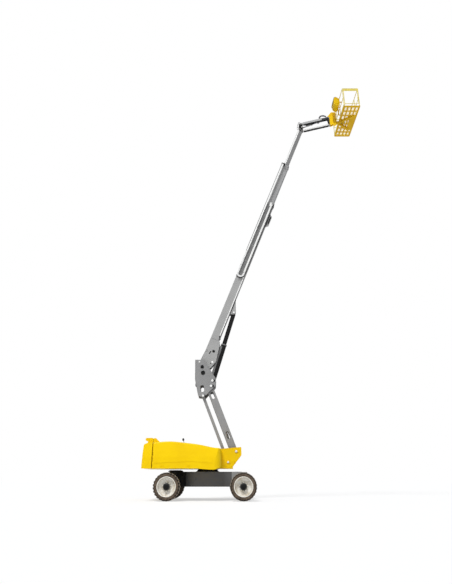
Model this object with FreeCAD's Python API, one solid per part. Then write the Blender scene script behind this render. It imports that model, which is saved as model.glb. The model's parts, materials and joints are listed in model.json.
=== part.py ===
import FreeCAD, Part
import math
import os

# Self-propelled boom lift: a slewing turret on four wheels, a parallelogram riser, a telescopic
# boom of three sections, and a jib with a level basket.
# Lengths are in millimetres, angles in degrees. While a piece is modelled, X points forward from
# the middle of the wheelbase, Y points to the far side and Z points up from the ground. At export
# all is moved along X, so that the origin lies on the ground below the middle of the whole length.

# ---- clearances and common wall thicknesses
SEAT = 0.3             # between pieces that rest on each other
PIN_FIT = 0.05         # radial, between a pin and its bore
SLIDE_GAP = 5.0        # between pieces that pass each other
HOOD_WALL = 8.0

# ---- wheels and axles
WHEELBASE = 2860.0
OVERALL_WIDTH = 2380.0
TYRE_RADIUS = 500.0
TYRE_WIDTH = 366.0
TREAD_DEPTH = 30.0
LUGS_PER_SIDE = 26
RIM_RADIUS = 334.0
RIM_FLANGE_RADIUS = 358.0
RIM_WIDTH = 330.0
RIM_WALL = 14.0
DISH_DEPTH = 95.0
DISH_WALL = 16.0
HUB_RADIUS = 130.0
HUB_LENGTH = 90.0
AXLE_BORE_RADIUS = 50.0
KINGPIN_INSET = 410.0
KINGPIN_RADIUS = 30.0
STEER_ARM = 200.0
AXLE_END_INSET = 550.0
AXLE_HALF_DEPTH = 115.0
AXLE_HEIGHT = 200.0

# ---- chassis
FRAME_HALF_WIDTH = 450.0
FRAME_HALF_LENGTH = 1620.0
FRAME_TOP = 1030.0
FRAME_BOTTOM = 490.0
FRAME_END_BOTTOM = 660.0
FRAME_WALL = 14.0
SLEW_X = 55.0
SLEW_RADIUS = 385.0
SLEW_FILLET = 120.0
PEDESTAL_TOP = 1100.0
TIE_DOWN_RADIUS = 25.0
TIE_DOWN_PLATE = 30.0

# ---- turret
TAIL_X = -2420.0
TAIL_TOP_INSET = 60.0
TURRET_HALF_WIDTH = 1150.0
TURRET_BOTTOM = 1140.0
BASE_PLATE = 60.0
BASE_FRONT_X = 1050.0
CHEEK_INNER = 360.0
CHEEK_PLATE = 40.0
HOOD_REAR_X = -2000.0
HOOD_FRONT_X = 600.0
HOOD_CREST = ((HOOD_REAR_X, 2078.0), (-1380.0, 2135.0), (-250.0, 2010.0), (300.0, 1888.0),
              (HOOD_FRONT_X, 1872.0))
HOOD_CREST_RADII = (0.0, 3000.0, 4000.0, 1500.0, 0.0)
HOOD_KEEL = ((HOOD_FRONT_X, 1190.0), (370.0, 1098.0), (120.0, 1098.0), (-300.0, 1135.0),
             (HOOD_REAR_X, 1135.0))
HOOD_KEEL_RADII = (60.0, 200.0, 400.0, 800.0, 0.0)
HOOD_INNER_Y = 415.0
HOOD_SEAM = 30.0
HOOD_EDGE_RADIUS = 70.0
HOOD_PRESS = 10.0
HOOD_PANEL = ((-1940.0, 1330.0), (-1940.0, 1960.0), (-1100.0, 1990.0), (-350.0, 1880.0), (100.0, 1700.0),
              (280.0, 1500.0), (280.0, 1330.0), (-500.0, 1390.0))
HOOD_PANEL_RADII = (60.0, 60.0, 1500.0, 900.0, 500.0, 120.0, 60.0, 1500.0)
HOOD_LEAN = 140.0
HOOD_HINGE_Y = 398.0
HOOD_HINGE_Z = 2088.0
HOOD_HINGE_PIN = 9.0
HOOD_HINGE_RADIUS = 17.0
HOOD_HINGE_X = (-1750.0, -1060.0)
HOOD_HINGE_LENGTH = 70.0
COUNTERWEIGHT_TOP = 2000.0
COUNTERWEIGHT_SLOT_TOP = 1420.0
DECK_PLATE = 15.0
ENGINE_CLEARANCE = 150.0
TANK_CLEARANCE = 107.0
BEACON_PLACE = (-950.0, 700.0)

# ---- riser: a parallelogram of an arm (A to C) and a link (B to D)
ARM_FOOT = (1180.0, 1780.0)
LINK_FOOT = (860.0, 1380.0)
RISER_LENGTH = 2774.0
RISER_ANGLE = 111.6
ARM_FRONT = -70.0
ARM_REAR = 215.0
ARM_HALF_WIDTH = 275.0
ARM_PLATE = 22.0
ARM_PIN_RADIUS = 45.0
LINK_DEPTH = 116.0
LINK_INNER = 150.0
LINK_OUTER = 210.0
LINK_PIN_RADIUS = 32.0
RISER_CYLINDER_FOOT = (1130.0, 1380.0)
RISER_CYLINDER_EYE_ALONG = 1800.0
RISER_CYLINDER_EYE_ACROSS = 0.0
RISER_BARREL_RADIUS = 58.0
RISER_ROD_RADIUS = 34.0
RISER_BARREL_LENGTH = 1150.0
RISER_PISTON_ALONG = 640.0
RISER_CYLINDER_PIN_RADIUS = 28.0

# ---- knuckle between the riser and the boom
KNUCKLE_INNER = 290.0
KNUCKLE_PLATE = 26.0
BOOM_PIVOT_FROM_ARM = (-378.8, 800.8)
LIFT_FOOT_FROM_ARM = (51.2, 220.8)
BOOM_PIN_RADIUS = 60.0
LIFT_PIN_RADIUS = 40.0

# ---- boom: along and across are measured from its pivot
BOOM_ANGLE = 68.84
BASE_START = 350.0
BASE_END = 8620.0
BASE_LOW = -225.0
BASE_HIGH = 155.0
BASE_HALF_WIDTH = 170.0
BASE_WALL = 8.0
MID_START = 2930.0
MID_END = 10930.0
MID_LOW = -200.0
MID_HIGH = 85.0
MID_HALF_WIDTH = 135.0
MID_WALL = 7.0
FLY_START = 5480.0
FLY_END = 13200.0
FLY_LOW = -162.0
FLY_HIGH = 70.0
FLY_HALF_WIDTH = 110.0
FLY_WALL = 6.0
FOOT_PLATE = 20.0
LIFT_EYE_ALONG = 2790.0
LIFT_EYE_ACROSS = -367.0
LIFT_BARREL_RADIUS = 112.0
LIFT_BARREL_LENGTH = 1690.0
LIFT_ROD_RADIUS = 92.0
LIFT_PISTON_ALONG = 980.0
LIFT_BRACKET_INNER = 100.0
LIFT_BRACKET_PLATE = 22.0

# ---- energy chain on the near side of the boom
CHAIN_SPREAD = 132.0
CHAIN_DEPTH = 66.0
CHAIN_THICKNESS = 56.0
CHAIN_BEND_ALONG = 4600.0
CHAIN_LEG = 1260.0
CHAIN_CASE_WALL = 4.0
CHAIN_STRIP = 6.0
CHAIN_STRIP_START = 4450.0
CHAIN_STRIP_FEET = (4470.0, 5300.0, 6150.0, 7000.0, 7850.0)

# ---- jib
HEAD_ALONG = 13330.0
JIB_FOOT_FROM_HEAD = (33.0, 327.0)
JIB_LINK_FROM_ARM = (70.0, -406.0)
JIB_LENGTH = 1555.0
JIB_ANGLE = 15.3
JIB_DEPTH = 130.0
JIB_INNER = 46.0
JIB_PLATE = 10.0
JIB_EAR_INNER = 33.0
JIB_EAR_PLATE = 8.0
JIB_LINK_DEPTH = 56.0
HEAD_INNER = 62.0
HEAD_PLATE = 18.0
HEAD_PIN_RADIUS = 26.0
JIB_PIN_RADIUS = 20.0
JIB_CYLINDER_FROM_ARM = (66.0, -196.0)
JIB_EYE_ALONG = 960.0
JIB_EYE_ACROSS = -100.0
JIB_BARREL_RADIUS = 28.0
JIB_ROD_RADIUS = 16.0
JIB_BARREL_LENGTH = 620.0
JIB_PISTON_ALONG = 290.0

# ---- basket
ROTATOR_REACH = 325.0
ROTATOR_DROP = 338.0
ROTATOR_HEIGHT = 650.0
ROTATOR_PIN_RADIUS = 45.0
ROTATOR_SLEEVE_RADIUS = 86.0
BASKET_REACH = 210.0
BASKET_RISE = 120.0
BASKET_WIDTH = 820.0
BASKET_HALF_LENGTH = 1150.0
CARRIER_DEPTH = 110.0
FLOOR_FRAME_HEIGHT = 50.0
FLOOR_FRAME_WIDTH = 80.0
FLOOR_BAR_WIDTH = 64.0
FLOOR_ROWS = 7
FLOOR_COLUMNS = 4
RAIL_HEIGHT = 1160.0
RAIL_RADIUS = 17.0
GATE_RISE = 190.0
GATE_BAND = 145.0
GATE_PIN_RADIUS = 8.0
GATE_EYE_DROP = 190.0

WHEEL_Y = (OVERALL_WIDTH - TYRE_WIDTH) / 2
KINGPIN_Y = OVERALL_WIDTH / 2 - KINGPIN_INSET
AXLE_END_Y = OVERALL_WIDTH / 2 - AXLE_END_INSET
STEER_X = -WHEELBASE / 2
DRIVE_X = WHEELBASE / 2


# ---------------------------------------------------------------- helpers

def vec(x, y, z):
    return FreeCAD.Vector(x, y, z)


def box(x0, x1, y0, y1, z0, z1):
    return Part.makeBox(x1 - x0, y1 - y0, z1 - z0, vec(x0, y0, z0))


def bar_y(x, z, radius, y0, y1):
    """Round bar along Y."""
    return Part.makeCylinder(radius, y1 - y0, vec(x, y0, z), vec(0, 1, 0))


def ring_y(x, z, outer, inner, y0, y1):
    """Round bush along Y."""
    return bar_y(x, z, outer, y0, y1).cut(bar_y(x, z, inner, y0 - 1, y1 + 1))


def bar_z(x, y, radius, z0, z1):
    return Part.makeCylinder(radius, z1 - z0, vec(x, y, z0), vec(0, 0, 1))


def bar(start, end, radius):
    """Round bar between two points."""
    way = end - start
    return Part.makeCylinder(radius, way.Length, start, way)


def rail(points, radius):
    """Bent tube through points, with balls at its corners."""
    pieces = [bar(a, b, radius) for a, b in zip(points, points[1:])]
    pieces += [Part.makeSphere(radius, p) for p in points[1:-1]]
    return fused(pieces)


def fused(shapes):
    """One solid, or one compound of solids that don't touch."""
    whole = shapes[0].multiFuse(shapes[1:]) if len(shapes) > 1 else shapes[0]
    return whole.removeSplitter()


def mirrored(shape):
    return shape.mirror(vec(0, 0, 0), vec(0, 1, 0))


def both_sides(shape):
    return [shape, mirrored(shape)]


def rounded_wire(points, radius=0.0):
    """Closed wire through the points, each corner rounded by one radius or by its own."""
    radii = list(radius) if isinstance(radius, (list, tuple)) else [radius] * len(points)
    starts, middles, ends = [], [], []
    for i, here in enumerate(points):
        back = points[i - 1] - here
        ahead = points[(i + 1) % len(points)] - here
        back.normalize()
        ahead.normalize()
        if radii[i] <= 0:
            starts.append(here)
            middles.append(None)
            ends.append(here)
            continue
        half = back.getAngle(ahead) / 2
        reach = radii[i] / math.tan(half)
        inward = back + ahead
        inward.normalize()
        starts.append(here + back * reach)
        ends.append(here + ahead * reach)
        middles.append(here + inward * (radii[i] / math.sin(half) - radii[i]))
    edges = []
    for i, middle in enumerate(middles):
        if middle is not None:
            edges.append(Part.Arc(starts[i], middle, ends[i]).toShape())
        following = starts[(i + 1) % len(points)]
        if (following - ends[i]).Length > 1e-6:
            edges.append(Part.makeLine(ends[i], following))
    return Part.Wire(edges)


def plate(points, y0, y1, radius=0.0):
    """Flat plate between y0 and y1, its outline given as (x, z) points."""
    wire = rounded_wire([vec(x, y0, z) for x, z in points], radius)
    return Part.Face(wire).extrude(vec(0, y1 - y0, 0))


def slab(points, z0, z1, radius=0.0):
    """Flat slab between z0 and z1, its outline given as (x, y) points."""
    wire = rounded_wire([vec(x, y, z0) for x, y in points], radius)
    return Part.Face(wire).extrude(vec(0, 0, z1 - z0))


def oval(x, z, length, width, y0, y1):
    """Slot with round ends along X, for cutting."""
    run = (length - width) / 2
    ends = [bar_y(x - run, z, width / 2, y0, y1), bar_y(x + run, z, width / 2, y0, y1)]
    return fused(ends + [box(x - run, x + run, y0, y1, z - width / 2, z + width / 2)])


def beam(x0, x1, half_width, z0, z1, radius):
    """Bar along X with rounded long edges."""
    corners = [(-half_width, z0), (half_width, z0), (half_width, z1), (-half_width, z1)]
    wire = rounded_wire([vec(x0, y, z) for y, z in corners], radius)
    return Part.Face(wire).extrude(vec(x1 - x0, 0, 0))


def hollow_beam(x0, x1, half_width, z0, z1, wall, radius):
    inner = beam(x0 - 1, x1 + 1, half_width - wall, z0 + wall, z1 - wall, radius - wall)
    return beam(x0, x1, half_width, z0, z1, radius).cut(inner)


def placed(shape, origin, angle):
    """Turns a shape modelled along X up by an angle and moves its zero to an (x, z) point."""
    shape = shape.copy()
    shape.rotate(vec(0, 0, 0), vec(0, 1, 0), -angle)
    shape.translate(vec(origin[0], 0, origin[1]))
    return shape


def along(origin, angle, distance, across=0.0):
    """The (x, z) point at a distance along a sloping axis and across it."""
    c, s = math.cos(math.radians(angle)), math.sin(math.radians(angle))
    return (origin[0] + distance * c - across * s, origin[1] + distance * s + across * c)


def span(start, end):
    """Length and slope from one (x, z) point to another."""
    dx, dz = end[0] - start[0], end[1] - start[1]
    return math.hypot(dx, dz), math.degrees(math.atan2(dz, dx))


def shifted(origin, way):
    """An (x, z) point moved by (x, z)."""
    return (origin[0] + way[0], origin[1] + way[1])


ARM_HEAD = along(ARM_FOOT, RISER_ANGLE, RISER_LENGTH)
LINK_HEAD = along(LINK_FOOT, RISER_ANGLE, RISER_LENGTH)
RISER_CYLINDER_EYE = along(ARM_FOOT, RISER_ANGLE, RISER_CYLINDER_EYE_ALONG, RISER_CYLINDER_EYE_ACROSS)
BOOM_PIVOT = shifted(ARM_HEAD, BOOM_PIVOT_FROM_ARM)
LIFT_FOOT = shifted(ARM_HEAD, LIFT_FOOT_FROM_ARM)
LIFT_EYE = along(BOOM_PIVOT, BOOM_ANGLE, LIFT_EYE_ALONG, LIFT_EYE_ACROSS)
HEAD_PIVOT = along(BOOM_PIVOT, BOOM_ANGLE, HEAD_ALONG)
JIB_FOOT = shifted(HEAD_PIVOT, JIB_FOOT_FROM_HEAD)
JIB_LINK_FOOT = shifted(JIB_FOOT, JIB_LINK_FROM_ARM)
JIB_CYLINDER_FOOT = shifted(JIB_FOOT, JIB_CYLINDER_FROM_ARM)
JIB_END = along(JIB_FOOT, JIB_ANGLE, JIB_LENGTH)
JIB_LINK_END = along(JIB_LINK_FOOT, JIB_ANGLE, JIB_LENGTH)
JIB_EYE = along(JIB_FOOT, JIB_ANGLE, JIB_EYE_ALONG, JIB_EYE_ACROSS)
ROTATOR_X = JIB_END[0] + ROTATOR_REACH
ROTATOR_BOTTOM = JIB_END[1] - ROTATOR_DROP
ROTATOR_TOP = ROTATOR_BOTTOM + ROTATOR_HEIGHT
BASKET_REAR_X = ROTATOR_X + BASKET_REACH
BASKET_FRONT_X = BASKET_REAR_X + BASKET_WIDTH
BASKET_FLOOR = ROTATOR_BOTTOM + BASKET_RISE
RAIL_TOP = BASKET_FLOOR + RAIL_HEIGHT
GATE_LOW = BASKET_FLOOR + GATE_RISE
ORIGIN_X = (TAIL_X + BASKET_FRONT_X) / 2


# ---------------------------------------------------------------- wheels

def tyre():
    """Solid tyre about the Y axis, its outer side towards +Y, with two rows of shoulder lugs."""
    half = TYRE_WIDTH / 2
    tread = TYRE_RADIUS - TREAD_DEPTH
    bore = RIM_RADIUS + SEAT
    bead = RIM_WIDTH / 2 - RIM_WALL - SEAT
    lip = RIM_FLANGE_RADIUS + SEAT
    flank = [(bead, bore), (bead, lip), (half - 8, lip + 12), (half, lip + 32), (half - 10, lip + 62),
             (half - 36, tread)]
    profile = flank + [(-a, r) for a, r in reversed(flank)]
    wire = Part.makePolygon([vec(0, a, r) for a, r in profile + profile[:1]])
    carcass = Part.Face(wire).revolve(vec(0, 0, 0), vec(0, 1, 0), 360)
    pitch = 360.0 / LUGS_PER_SIDE
    lug_width = 0.56 * 2 * math.pi * TYRE_RADIUS / LUGS_PER_SIDE
    side = [(12.0, tread - 8), (12.0, TYRE_RADIUS - 1.5), (half - 20, TYRE_RADIUS - 1.5),
            (half - 3, TYRE_RADIUS - 20), (half - 1, lip + 72), (half - 6, lip + 52), (half - 40, lip + 50)]
    lugs = []
    for i in range(LUGS_PER_SIDE):
        for row, turn in ((1, 0.0), (-1, 0.5)):
            points = [vec(-lug_width / 2, row * a, r) for a, r in side]
            lug = Part.Face(Part.makePolygon(points + points[:1])).extrude(vec(lug_width, 0, 0))
            lug.rotate(vec(0, 0, 0), vec(0, 1, 0), (i + turn) * pitch)
            lugs.append(lug)
    return carcass.multiFuse(lugs)


def rim():
    """Dished rim about the Y axis, open towards +Y, with its closed hub."""
    half = RIM_WIDTH / 2
    inside = RIM_RADIUS - RIM_WALL
    dish = half - DISH_DEPTH
    flange = RIM_FLANGE_RADIUS
    hub = dish + HUB_LENGTH
    profile = [
        (-half, flange), (-half, inside), (dish - DISH_WALL, inside), (dish - 60, 190.0),
        (dish - 60, AXLE_BORE_RADIUS), (dish + 30, AXLE_BORE_RADIUS), (dish + 30, 0.0), (hub, 0.0), (hub, 95.0),
        (hub - 12, HUB_RADIUS - 8), (dish - 10, HUB_RADIUS), (dish - 40, HUB_RADIUS + 45), (dish, inside - 24),
        (half - 20, inside), (half, inside + 8), (half, flange), (half - RIM_WALL, flange),
        (half - RIM_WALL, RIM_RADIUS), (-half + RIM_WALL, RIM_RADIUS), (-half + RIM_WALL, flange)]
    wire = Part.makePolygon([vec(0, a, r) for a, r in profile + profile[:1]])
    return Part.Face(wire).revolve(vec(0, 0, 0), vec(0, 1, 0), 360)


def at_wheel(shape, x, side):
    """Puts a piece modelled about the origin, facing +Y, at an axle's end. side is +1 or -1."""
    shape = shape.copy() if side > 0 else mirrored(shape)
    shape.translate(vec(x, side * WHEEL_Y, TYRE_RADIUS))
    return shape


def add_wheels(nodes):
    tyre_shape, rim_shape = tyre(), rim()
    for axle, x in (("steer", STEER_X), ("drive", DRIVE_X)):
        for place, side in (("near", -1), ("far", 1)):
            name = axle + "_" + place
            nodes["tyre_" + name] = at_wheel(tyre_shape, x, side)
            nodes["rim_" + name] = at_wheel(rim_shape, x, side)


# ---------------------------------------------------------------- chassis

def chassis_frame():
    """Box frame with a round pedestal, open below in two places, and a tie-down eye at each end."""
    def outline(inset):
        end, low, top = FRAME_HALF_LENGTH - inset, FRAME_BOTTOM + inset, FRAME_TOP - inset
        end_low = FRAME_END_BOTTOM + inset
        points = [(-end, end_low), (-1130, end_low), (-940, low), (1080, low), (1240, end_low),
                  (end, end_low), (end, 900 - inset), (1380, top), (-1380, top), (-end, 900 - inset)]
        return points, [20, 60, 60, 60, 60, 20, 30, 60, 60, 30]
    points, radii = outline(0)
    hull = plate(points, -FRAME_HALF_WIDTH, FRAME_HALF_WIDTH, radii)
    points, radii = outline(FRAME_WALL)
    inner = FRAME_HALF_WIDTH - FRAME_WALL
    hull = hull.cut(plate(points, -inner, inner, radii))
    for x in (-500, 600):
        hull = hull.cut(bar_z(x, 0, 170, FRAME_BOTTOM - 1, FRAME_BOTTOM + FRAME_WALL + 1))
    middle = bar_z(SLEW_X, 0, SLEW_RADIUS + SLEW_FILLET, FRAME_TOP, PEDESTAL_TOP)
    groove = Part.makeTorus(SLEW_RADIUS + SLEW_FILLET, SLEW_FILLET, vec(SLEW_X, 0, FRAME_TOP + SLEW_FILLET))
    ends = []
    for sign in (-1, 1):
        lug = slab([(sign * (FRAME_HALF_LENGTH - 2), -70), (sign * (FRAME_HALF_LENGTH + 90), -45),
                    (sign * (FRAME_HALF_LENGTH + 90), 45), (sign * (FRAME_HALF_LENGTH - 2), 70)],
                   740, 740 + TIE_DOWN_PLATE, [0, 30, 30, 0])
        eye = bar_z(sign * (FRAME_HALF_LENGTH + 48), 0, TIE_DOWN_RADIUS, 730, 790)
        ends.append(lug.cut(eye))
    ring = bar_z(SLEW_X, 0, SLEW_RADIUS - 20, PEDESTAL_TOP - 5, TURRET_BOTTOM - SEAT)
    return fused([hull, middle.cut(groove), ring] + ends)


def axle_beam(x):
    """Box beam across the machine, hung below the frame on a saddle."""
    low, high = TYRE_RADIUS - AXLE_HEIGHT / 2, TYRE_RADIUS + AXLE_HEIGHT / 2
    beam_box = box(x - AXLE_HALF_DEPTH, x + AXLE_HALF_DEPTH, -AXLE_END_Y, AXLE_END_Y, low, high)
    saddle = box(x - AXLE_HALF_DEPTH + 20, x + AXLE_HALF_DEPTH - 20, -300, 300, high, FRAME_END_BOTTOM)
    return [beam_box, saddle]


def steer_axle():
    """Axle beam with a forked end for each kingpin."""
    pieces = axle_beam(STEER_X)
    for side in (-1, 1):
        for z0, z1 in ((TYRE_RADIUS - 100, TYRE_RADIUS - 70), (TYRE_RADIUS + 70, TYRE_RADIUS + 100)):
            ear = slab([(STEER_X - 70, side * (AXLE_END_Y - 20)), (STEER_X + 70, side * (AXLE_END_Y - 20)),
                        (STEER_X + 50, side * (KINGPIN_Y + 52)), (STEER_X - 50, side * (KINGPIN_Y + 52))],
                       z0, z1, [0, 0, 40, 40])
            pieces.append(ear)
        pieces.append(bar_z(STEER_X, side * KINGPIN_Y, KINGPIN_RADIUS, TYRE_RADIUS - 110, TYRE_RADIUS + 110))
    return fused(pieces)


def knuckle_block(side):
    """Steering knuckle: a sleeve on the kingpin, a stub axle outwards and an arm to the tie rod."""
    low, high = TYRE_RADIUS - 70 + SEAT, TYRE_RADIUS + 70 - SEAT
    sleeve = bar_z(STEER_X, side * KINGPIN_Y, 58, low, high)
    stub_end = WHEEL_Y + RIM_WIDTH / 2 - DISH_DEPTH
    stub = bar(vec(STEER_X, side * (KINGPIN_Y + 20), TYRE_RADIUS),
               vec(STEER_X, side * stub_end, TYRE_RADIUS), AXLE_BORE_RADIUS - PIN_FIT)
    arm = slab([(STEER_X, side * (KINGPIN_Y - 30)), (STEER_X + STEER_ARM + 35, side * (KINGPIN_Y - 40)),
                (STEER_X + STEER_ARM + 35, side * (KINGPIN_Y + 30)), (STEER_X, side * (KINGPIN_Y + 45))],
               low, low + 30, [0, 30, 30, 0])
    ball = bar_z(STEER_X + STEER_ARM, side * KINGPIN_Y, 16, low - 45, low + 5)
    whole = fused([sleeve, stub, arm, ball])
    return whole.cut(bar_z(STEER_X, side * KINGPIN_Y, KINGPIN_RADIUS + PIN_FIT, low - 1, high + 1))


def tie_rod():
    """Rod between the two steering arms, with an eye on each ball pin."""
    z = TYRE_RADIUS - 70 + SEAT - 25
    x = STEER_X + STEER_ARM
    reach = KINGPIN_Y - 30
    rod = bar(vec(x, -reach, z), vec(x, reach, z), 15)
    eyes = [bar_z(x, side * KINGPIN_Y, 34, z - 16, z + 16) for side in (-1, 1)]
    whole = fused([rod] + eyes)
    for side in (-1, 1):
        whole = whole.cut(bar_z(x, side * KINGPIN_Y, 16 + PIN_FIT, z - 17, z + 17))
    return whole


def drive_axle():
    """Axle beam with a round drive housing in the middle and a motor flange at each end."""
    pieces = axle_beam(DRIVE_X)
    pieces.append(bar(vec(DRIVE_X - 190, 0, TYRE_RADIUS), vec(DRIVE_X + 190, 0, TYRE_RADIUS), 140))
    stub_end = WHEEL_Y + RIM_WIDTH / 2 - DISH_DEPTH
    for side in (-1, 1):
        ends = ((AXLE_END_Y - 10, KINGPIN_Y + 60, 140), (KINGPIN_Y, stub_end, AXLE_BORE_RADIUS - PIN_FIT))
        for y0, y1, radius in ends:
            start = vec(DRIVE_X, side * y0, TYRE_RADIUS)
            end = vec(DRIVE_X, side * y1, TYRE_RADIUS)
            pieces.append(bar(start, end, radius))
    return fused(pieces)


def axle_cover():
    """Low cover over the steer axle's end of the frame."""
    top = plate([(-1470, FRAME_TOP), (-930, FRAME_TOP), (-960, 1078), (-1400, 1085)],
                -FRAME_HALF_WIDTH + 20, FRAME_HALF_WIDTH - 20, [0, 0, 30, 60])
    return top.cut(box(-1600, -1376, -500, 500, 900, FRAME_TOP))


# ---------------------------------------------------------------- turret

def cheek():
    """Tall side plate of the turret: a wall along the hood, and an ear for the riser's pins."""
    points = [(HOOD_REAR_X + 5, TURRET_BOTTOM), (HOOD_REAR_X + 5, 2030), (-1190, 2070), (-220, 1960), (470, 1835),
              (640, 1885), (1380, 1945), (1390, 1640), (1050, 1215), (620, TURRET_BOTTOM)]
    radii = [0, 20, 300, 300, 60, 60, 25, 90, 60, 20]
    return plate(points, CHEEK_INNER, CHEEK_INNER + CHEEK_PLATE, radii)


def hood_hinge_pins():
    """Upright lugs on a cheek's top edge, each pair with a pin that carries a hood's eye."""
    pieces = []
    y, z, half = HOOD_HINGE_Y, HOOD_HINGE_Z, HOOD_HINGE_LENGTH / 2
    for x in HOOD_HINGE_X:
        for x0 in (x - half - 25, x + half + 1):
            pieces.append(box(x0, x0 + 24, CHEEK_INNER + 4, CHEEK_INNER + CHEEK_PLATE, 1950, z))
            pieces.append(bar(vec(x0, y, z), vec(x0 + 24, y, z), HOOD_HINGE_RADIUS - 1))
        pieces.append(bar(vec(x - half - 10, y, z), vec(x + half + 10, y, z), HOOD_HINGE_PIN))
    return fused(pieces)


def hood_hinge_eyes():
    """Eyes on a hood's inner edge, each on a leaf below the hood's skin."""
    pieces = []
    y, z, half = HOOD_HINGE_Y, HOOD_HINGE_Z, HOOD_HINGE_LENGTH / 2
    for x in HOOD_HINGE_X:
        eye = bar(vec(x - half, y, z), vec(x + half, y, z), HOOD_HINGE_RADIUS)
        leaf = box(x - half, x + half, y, HOOD_INNER_Y + 60, z - 4, z + 10)
        bore = bar(vec(x - 99, y, z), vec(x + 99, y, z), HOOD_HINGE_PIN + PIN_FIT)
        pieces.append(fused([eye, leaf]).cut(bore))
    return pieces


def turret_frame():
    """Base plate on the slew ring, two cheeks, hood decks, and the riser's pins."""
    base = slab([(HOOD_REAR_X + 5, -CHEEK_INNER - CHEEK_PLATE), (HOOD_REAR_X + 5, CHEEK_INNER + CHEEK_PLATE),
                 (BASE_FRONT_X, CHEEK_INNER + CHEEK_PLATE), (BASE_FRONT_X, -CHEEK_INNER - CHEEK_PLATE)],
                TURRET_BOTTOM, TURRET_BOTTOM + BASE_PLATE)
    deck_inner = CHEEK_INNER + CHEEK_PLATE
    deck_outer = TURRET_HALF_WIDTH - HOOD_WALL - SLIDE_GAP - 60
    deck = slab([(HOOD_REAR_X + 20, deck_inner - 5), (HOOD_REAR_X + 20, deck_outer), (300, deck_outer),
                 (460, deck_outer - 160), (460, deck_inner - 5)],
                TURRET_BOTTOM, TURRET_BOTTOM + DECK_PLATE, [0, 10, 60, 60, 0])
    pieces = [base] + both_sides(cheek()) + both_sides(deck) + both_sides(hood_hinge_pins())
    pieces.append(bar_y(ARM_FOOT[0], ARM_FOOT[1], ARM_PIN_RADIUS, -CHEEK_INNER - CHEEK_PLATE - 14,
                        CHEEK_INNER + CHEEK_PLATE + 14))
    pieces += both_sides(bar_y(LINK_FOOT[0], LINK_FOOT[1], LINK_PIN_RADIUS, LINK_INNER - 30,
                               CHEEK_INNER + CHEEK_PLATE + 14))
    x, z = LINK_FOOT
    low = TURRET_BOTTOM + BASE_PLATE - 5
    inner_lug = plate([(x - 70, low), (x + 70, low), (x + 45, z + 48), (x - 45, z + 48)],
                      LINK_INNER - 30, LINK_INNER - 10, [0, 0, 40, 40])
    pieces += both_sides(inner_lug)
    x, z = RISER_CYLINDER_FOOT
    outer = CHEEK_INNER + CHEEK_PLATE + 6
    pieces.append(bar_y(x, z, RISER_CYLINDER_PIN_RADIUS, -outer, outer))
    return fused(pieces)


def counterweight():
    """Cast tail block, slotted in the middle for the folded knuckle."""
    side = [(TAIL_X, TURRET_BOTTOM - 5), (TAIL_X + TAIL_TOP_INSET, COUNTERWEIGHT_TOP),
            (TAIL_X + 200, COUNTERWEIGHT_TOP + 66), (HOOD_REAR_X - HOOD_SEAM, COUNTERWEIGHT_TOP + 80),
            (HOOD_REAR_X - HOOD_SEAM, TURRET_BOTTOM - 5)]
    block = plate(side, -TURRET_HALF_WIDTH, TURRET_HALF_WIDTH, [40, 60, 80, 0, 0])
    half = TURRET_HALF_WIDTH
    plan = slab([(TAIL_X - 1, -half), (HOOD_REAR_X, -half), (HOOD_REAR_X, half), (TAIL_X - 1, half)],
                TURRET_BOTTOM - 10, COUNTERWEIGHT_TOP + 200, [150, 0, 0, 150])
    slope = section_slab(TAIL_X - 1, HOOD_REAR_X)
    block = block.common(plan).common(slope)
    slot = box(TAIL_X - 10, HOOD_REAR_X, -HOOD_INNER_Y, HOOD_INNER_Y, COUNTERWEIGHT_SLOT_TOP,
               COUNTERWEIGHT_TOP + 300)
    block = block.cut(slot)
    neck = box(HOOD_REAR_X - HOOD_SEAM - 1, HOOD_REAR_X + 5 - SEAT, -CHEEK_INNER - CHEEK_PLATE,
               CHEEK_INNER + CHEEK_PLATE, TURRET_BOTTOM, COUNTERWEIGHT_SLOT_TOP - 20)
    return fused([block, neck] + both_sides(tail_hook()))


def section_slab(x0, x1, inset=0.0):
    """The turret's cross-section, upright below and leaning in above, along X."""
    rising = [(TURRET_HALF_WIDTH, 1000), (TURRET_HALF_WIDTH, 1330), (TURRET_HALF_WIDTH - 20, 1560),
              (TURRET_HALF_WIDTH - 50, 1740), (TURRET_HALF_WIDTH - HOOD_LEAN, 2200)]
    corners = [(y - inset, z) for y, z in rising] + [(inset - y, z) for y, z in reversed(rising)]
    wire = rounded_wire([vec(x0, y, z) for y, z in corners])
    return Part.Face(wire).extrude(vec(x1 - x0, 0, 0))


def tail_hook():
    """Solid lifting hook on top of the tail, its nose to the rear."""
    y, half = 400 - TURRET_HALF_WIDTH, 60
    outline = [(-2250, 2040), (-2245, 2130), (-2335, 2165), (-2345, 2225), (-2310, 2258), (-2080, 2262),
               (-2038, 2235), (-2032, 2040)]
    return plate(outline, y - half, y + half, [0, 20, 20, 15, 15, 20, 20, 0])


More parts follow.
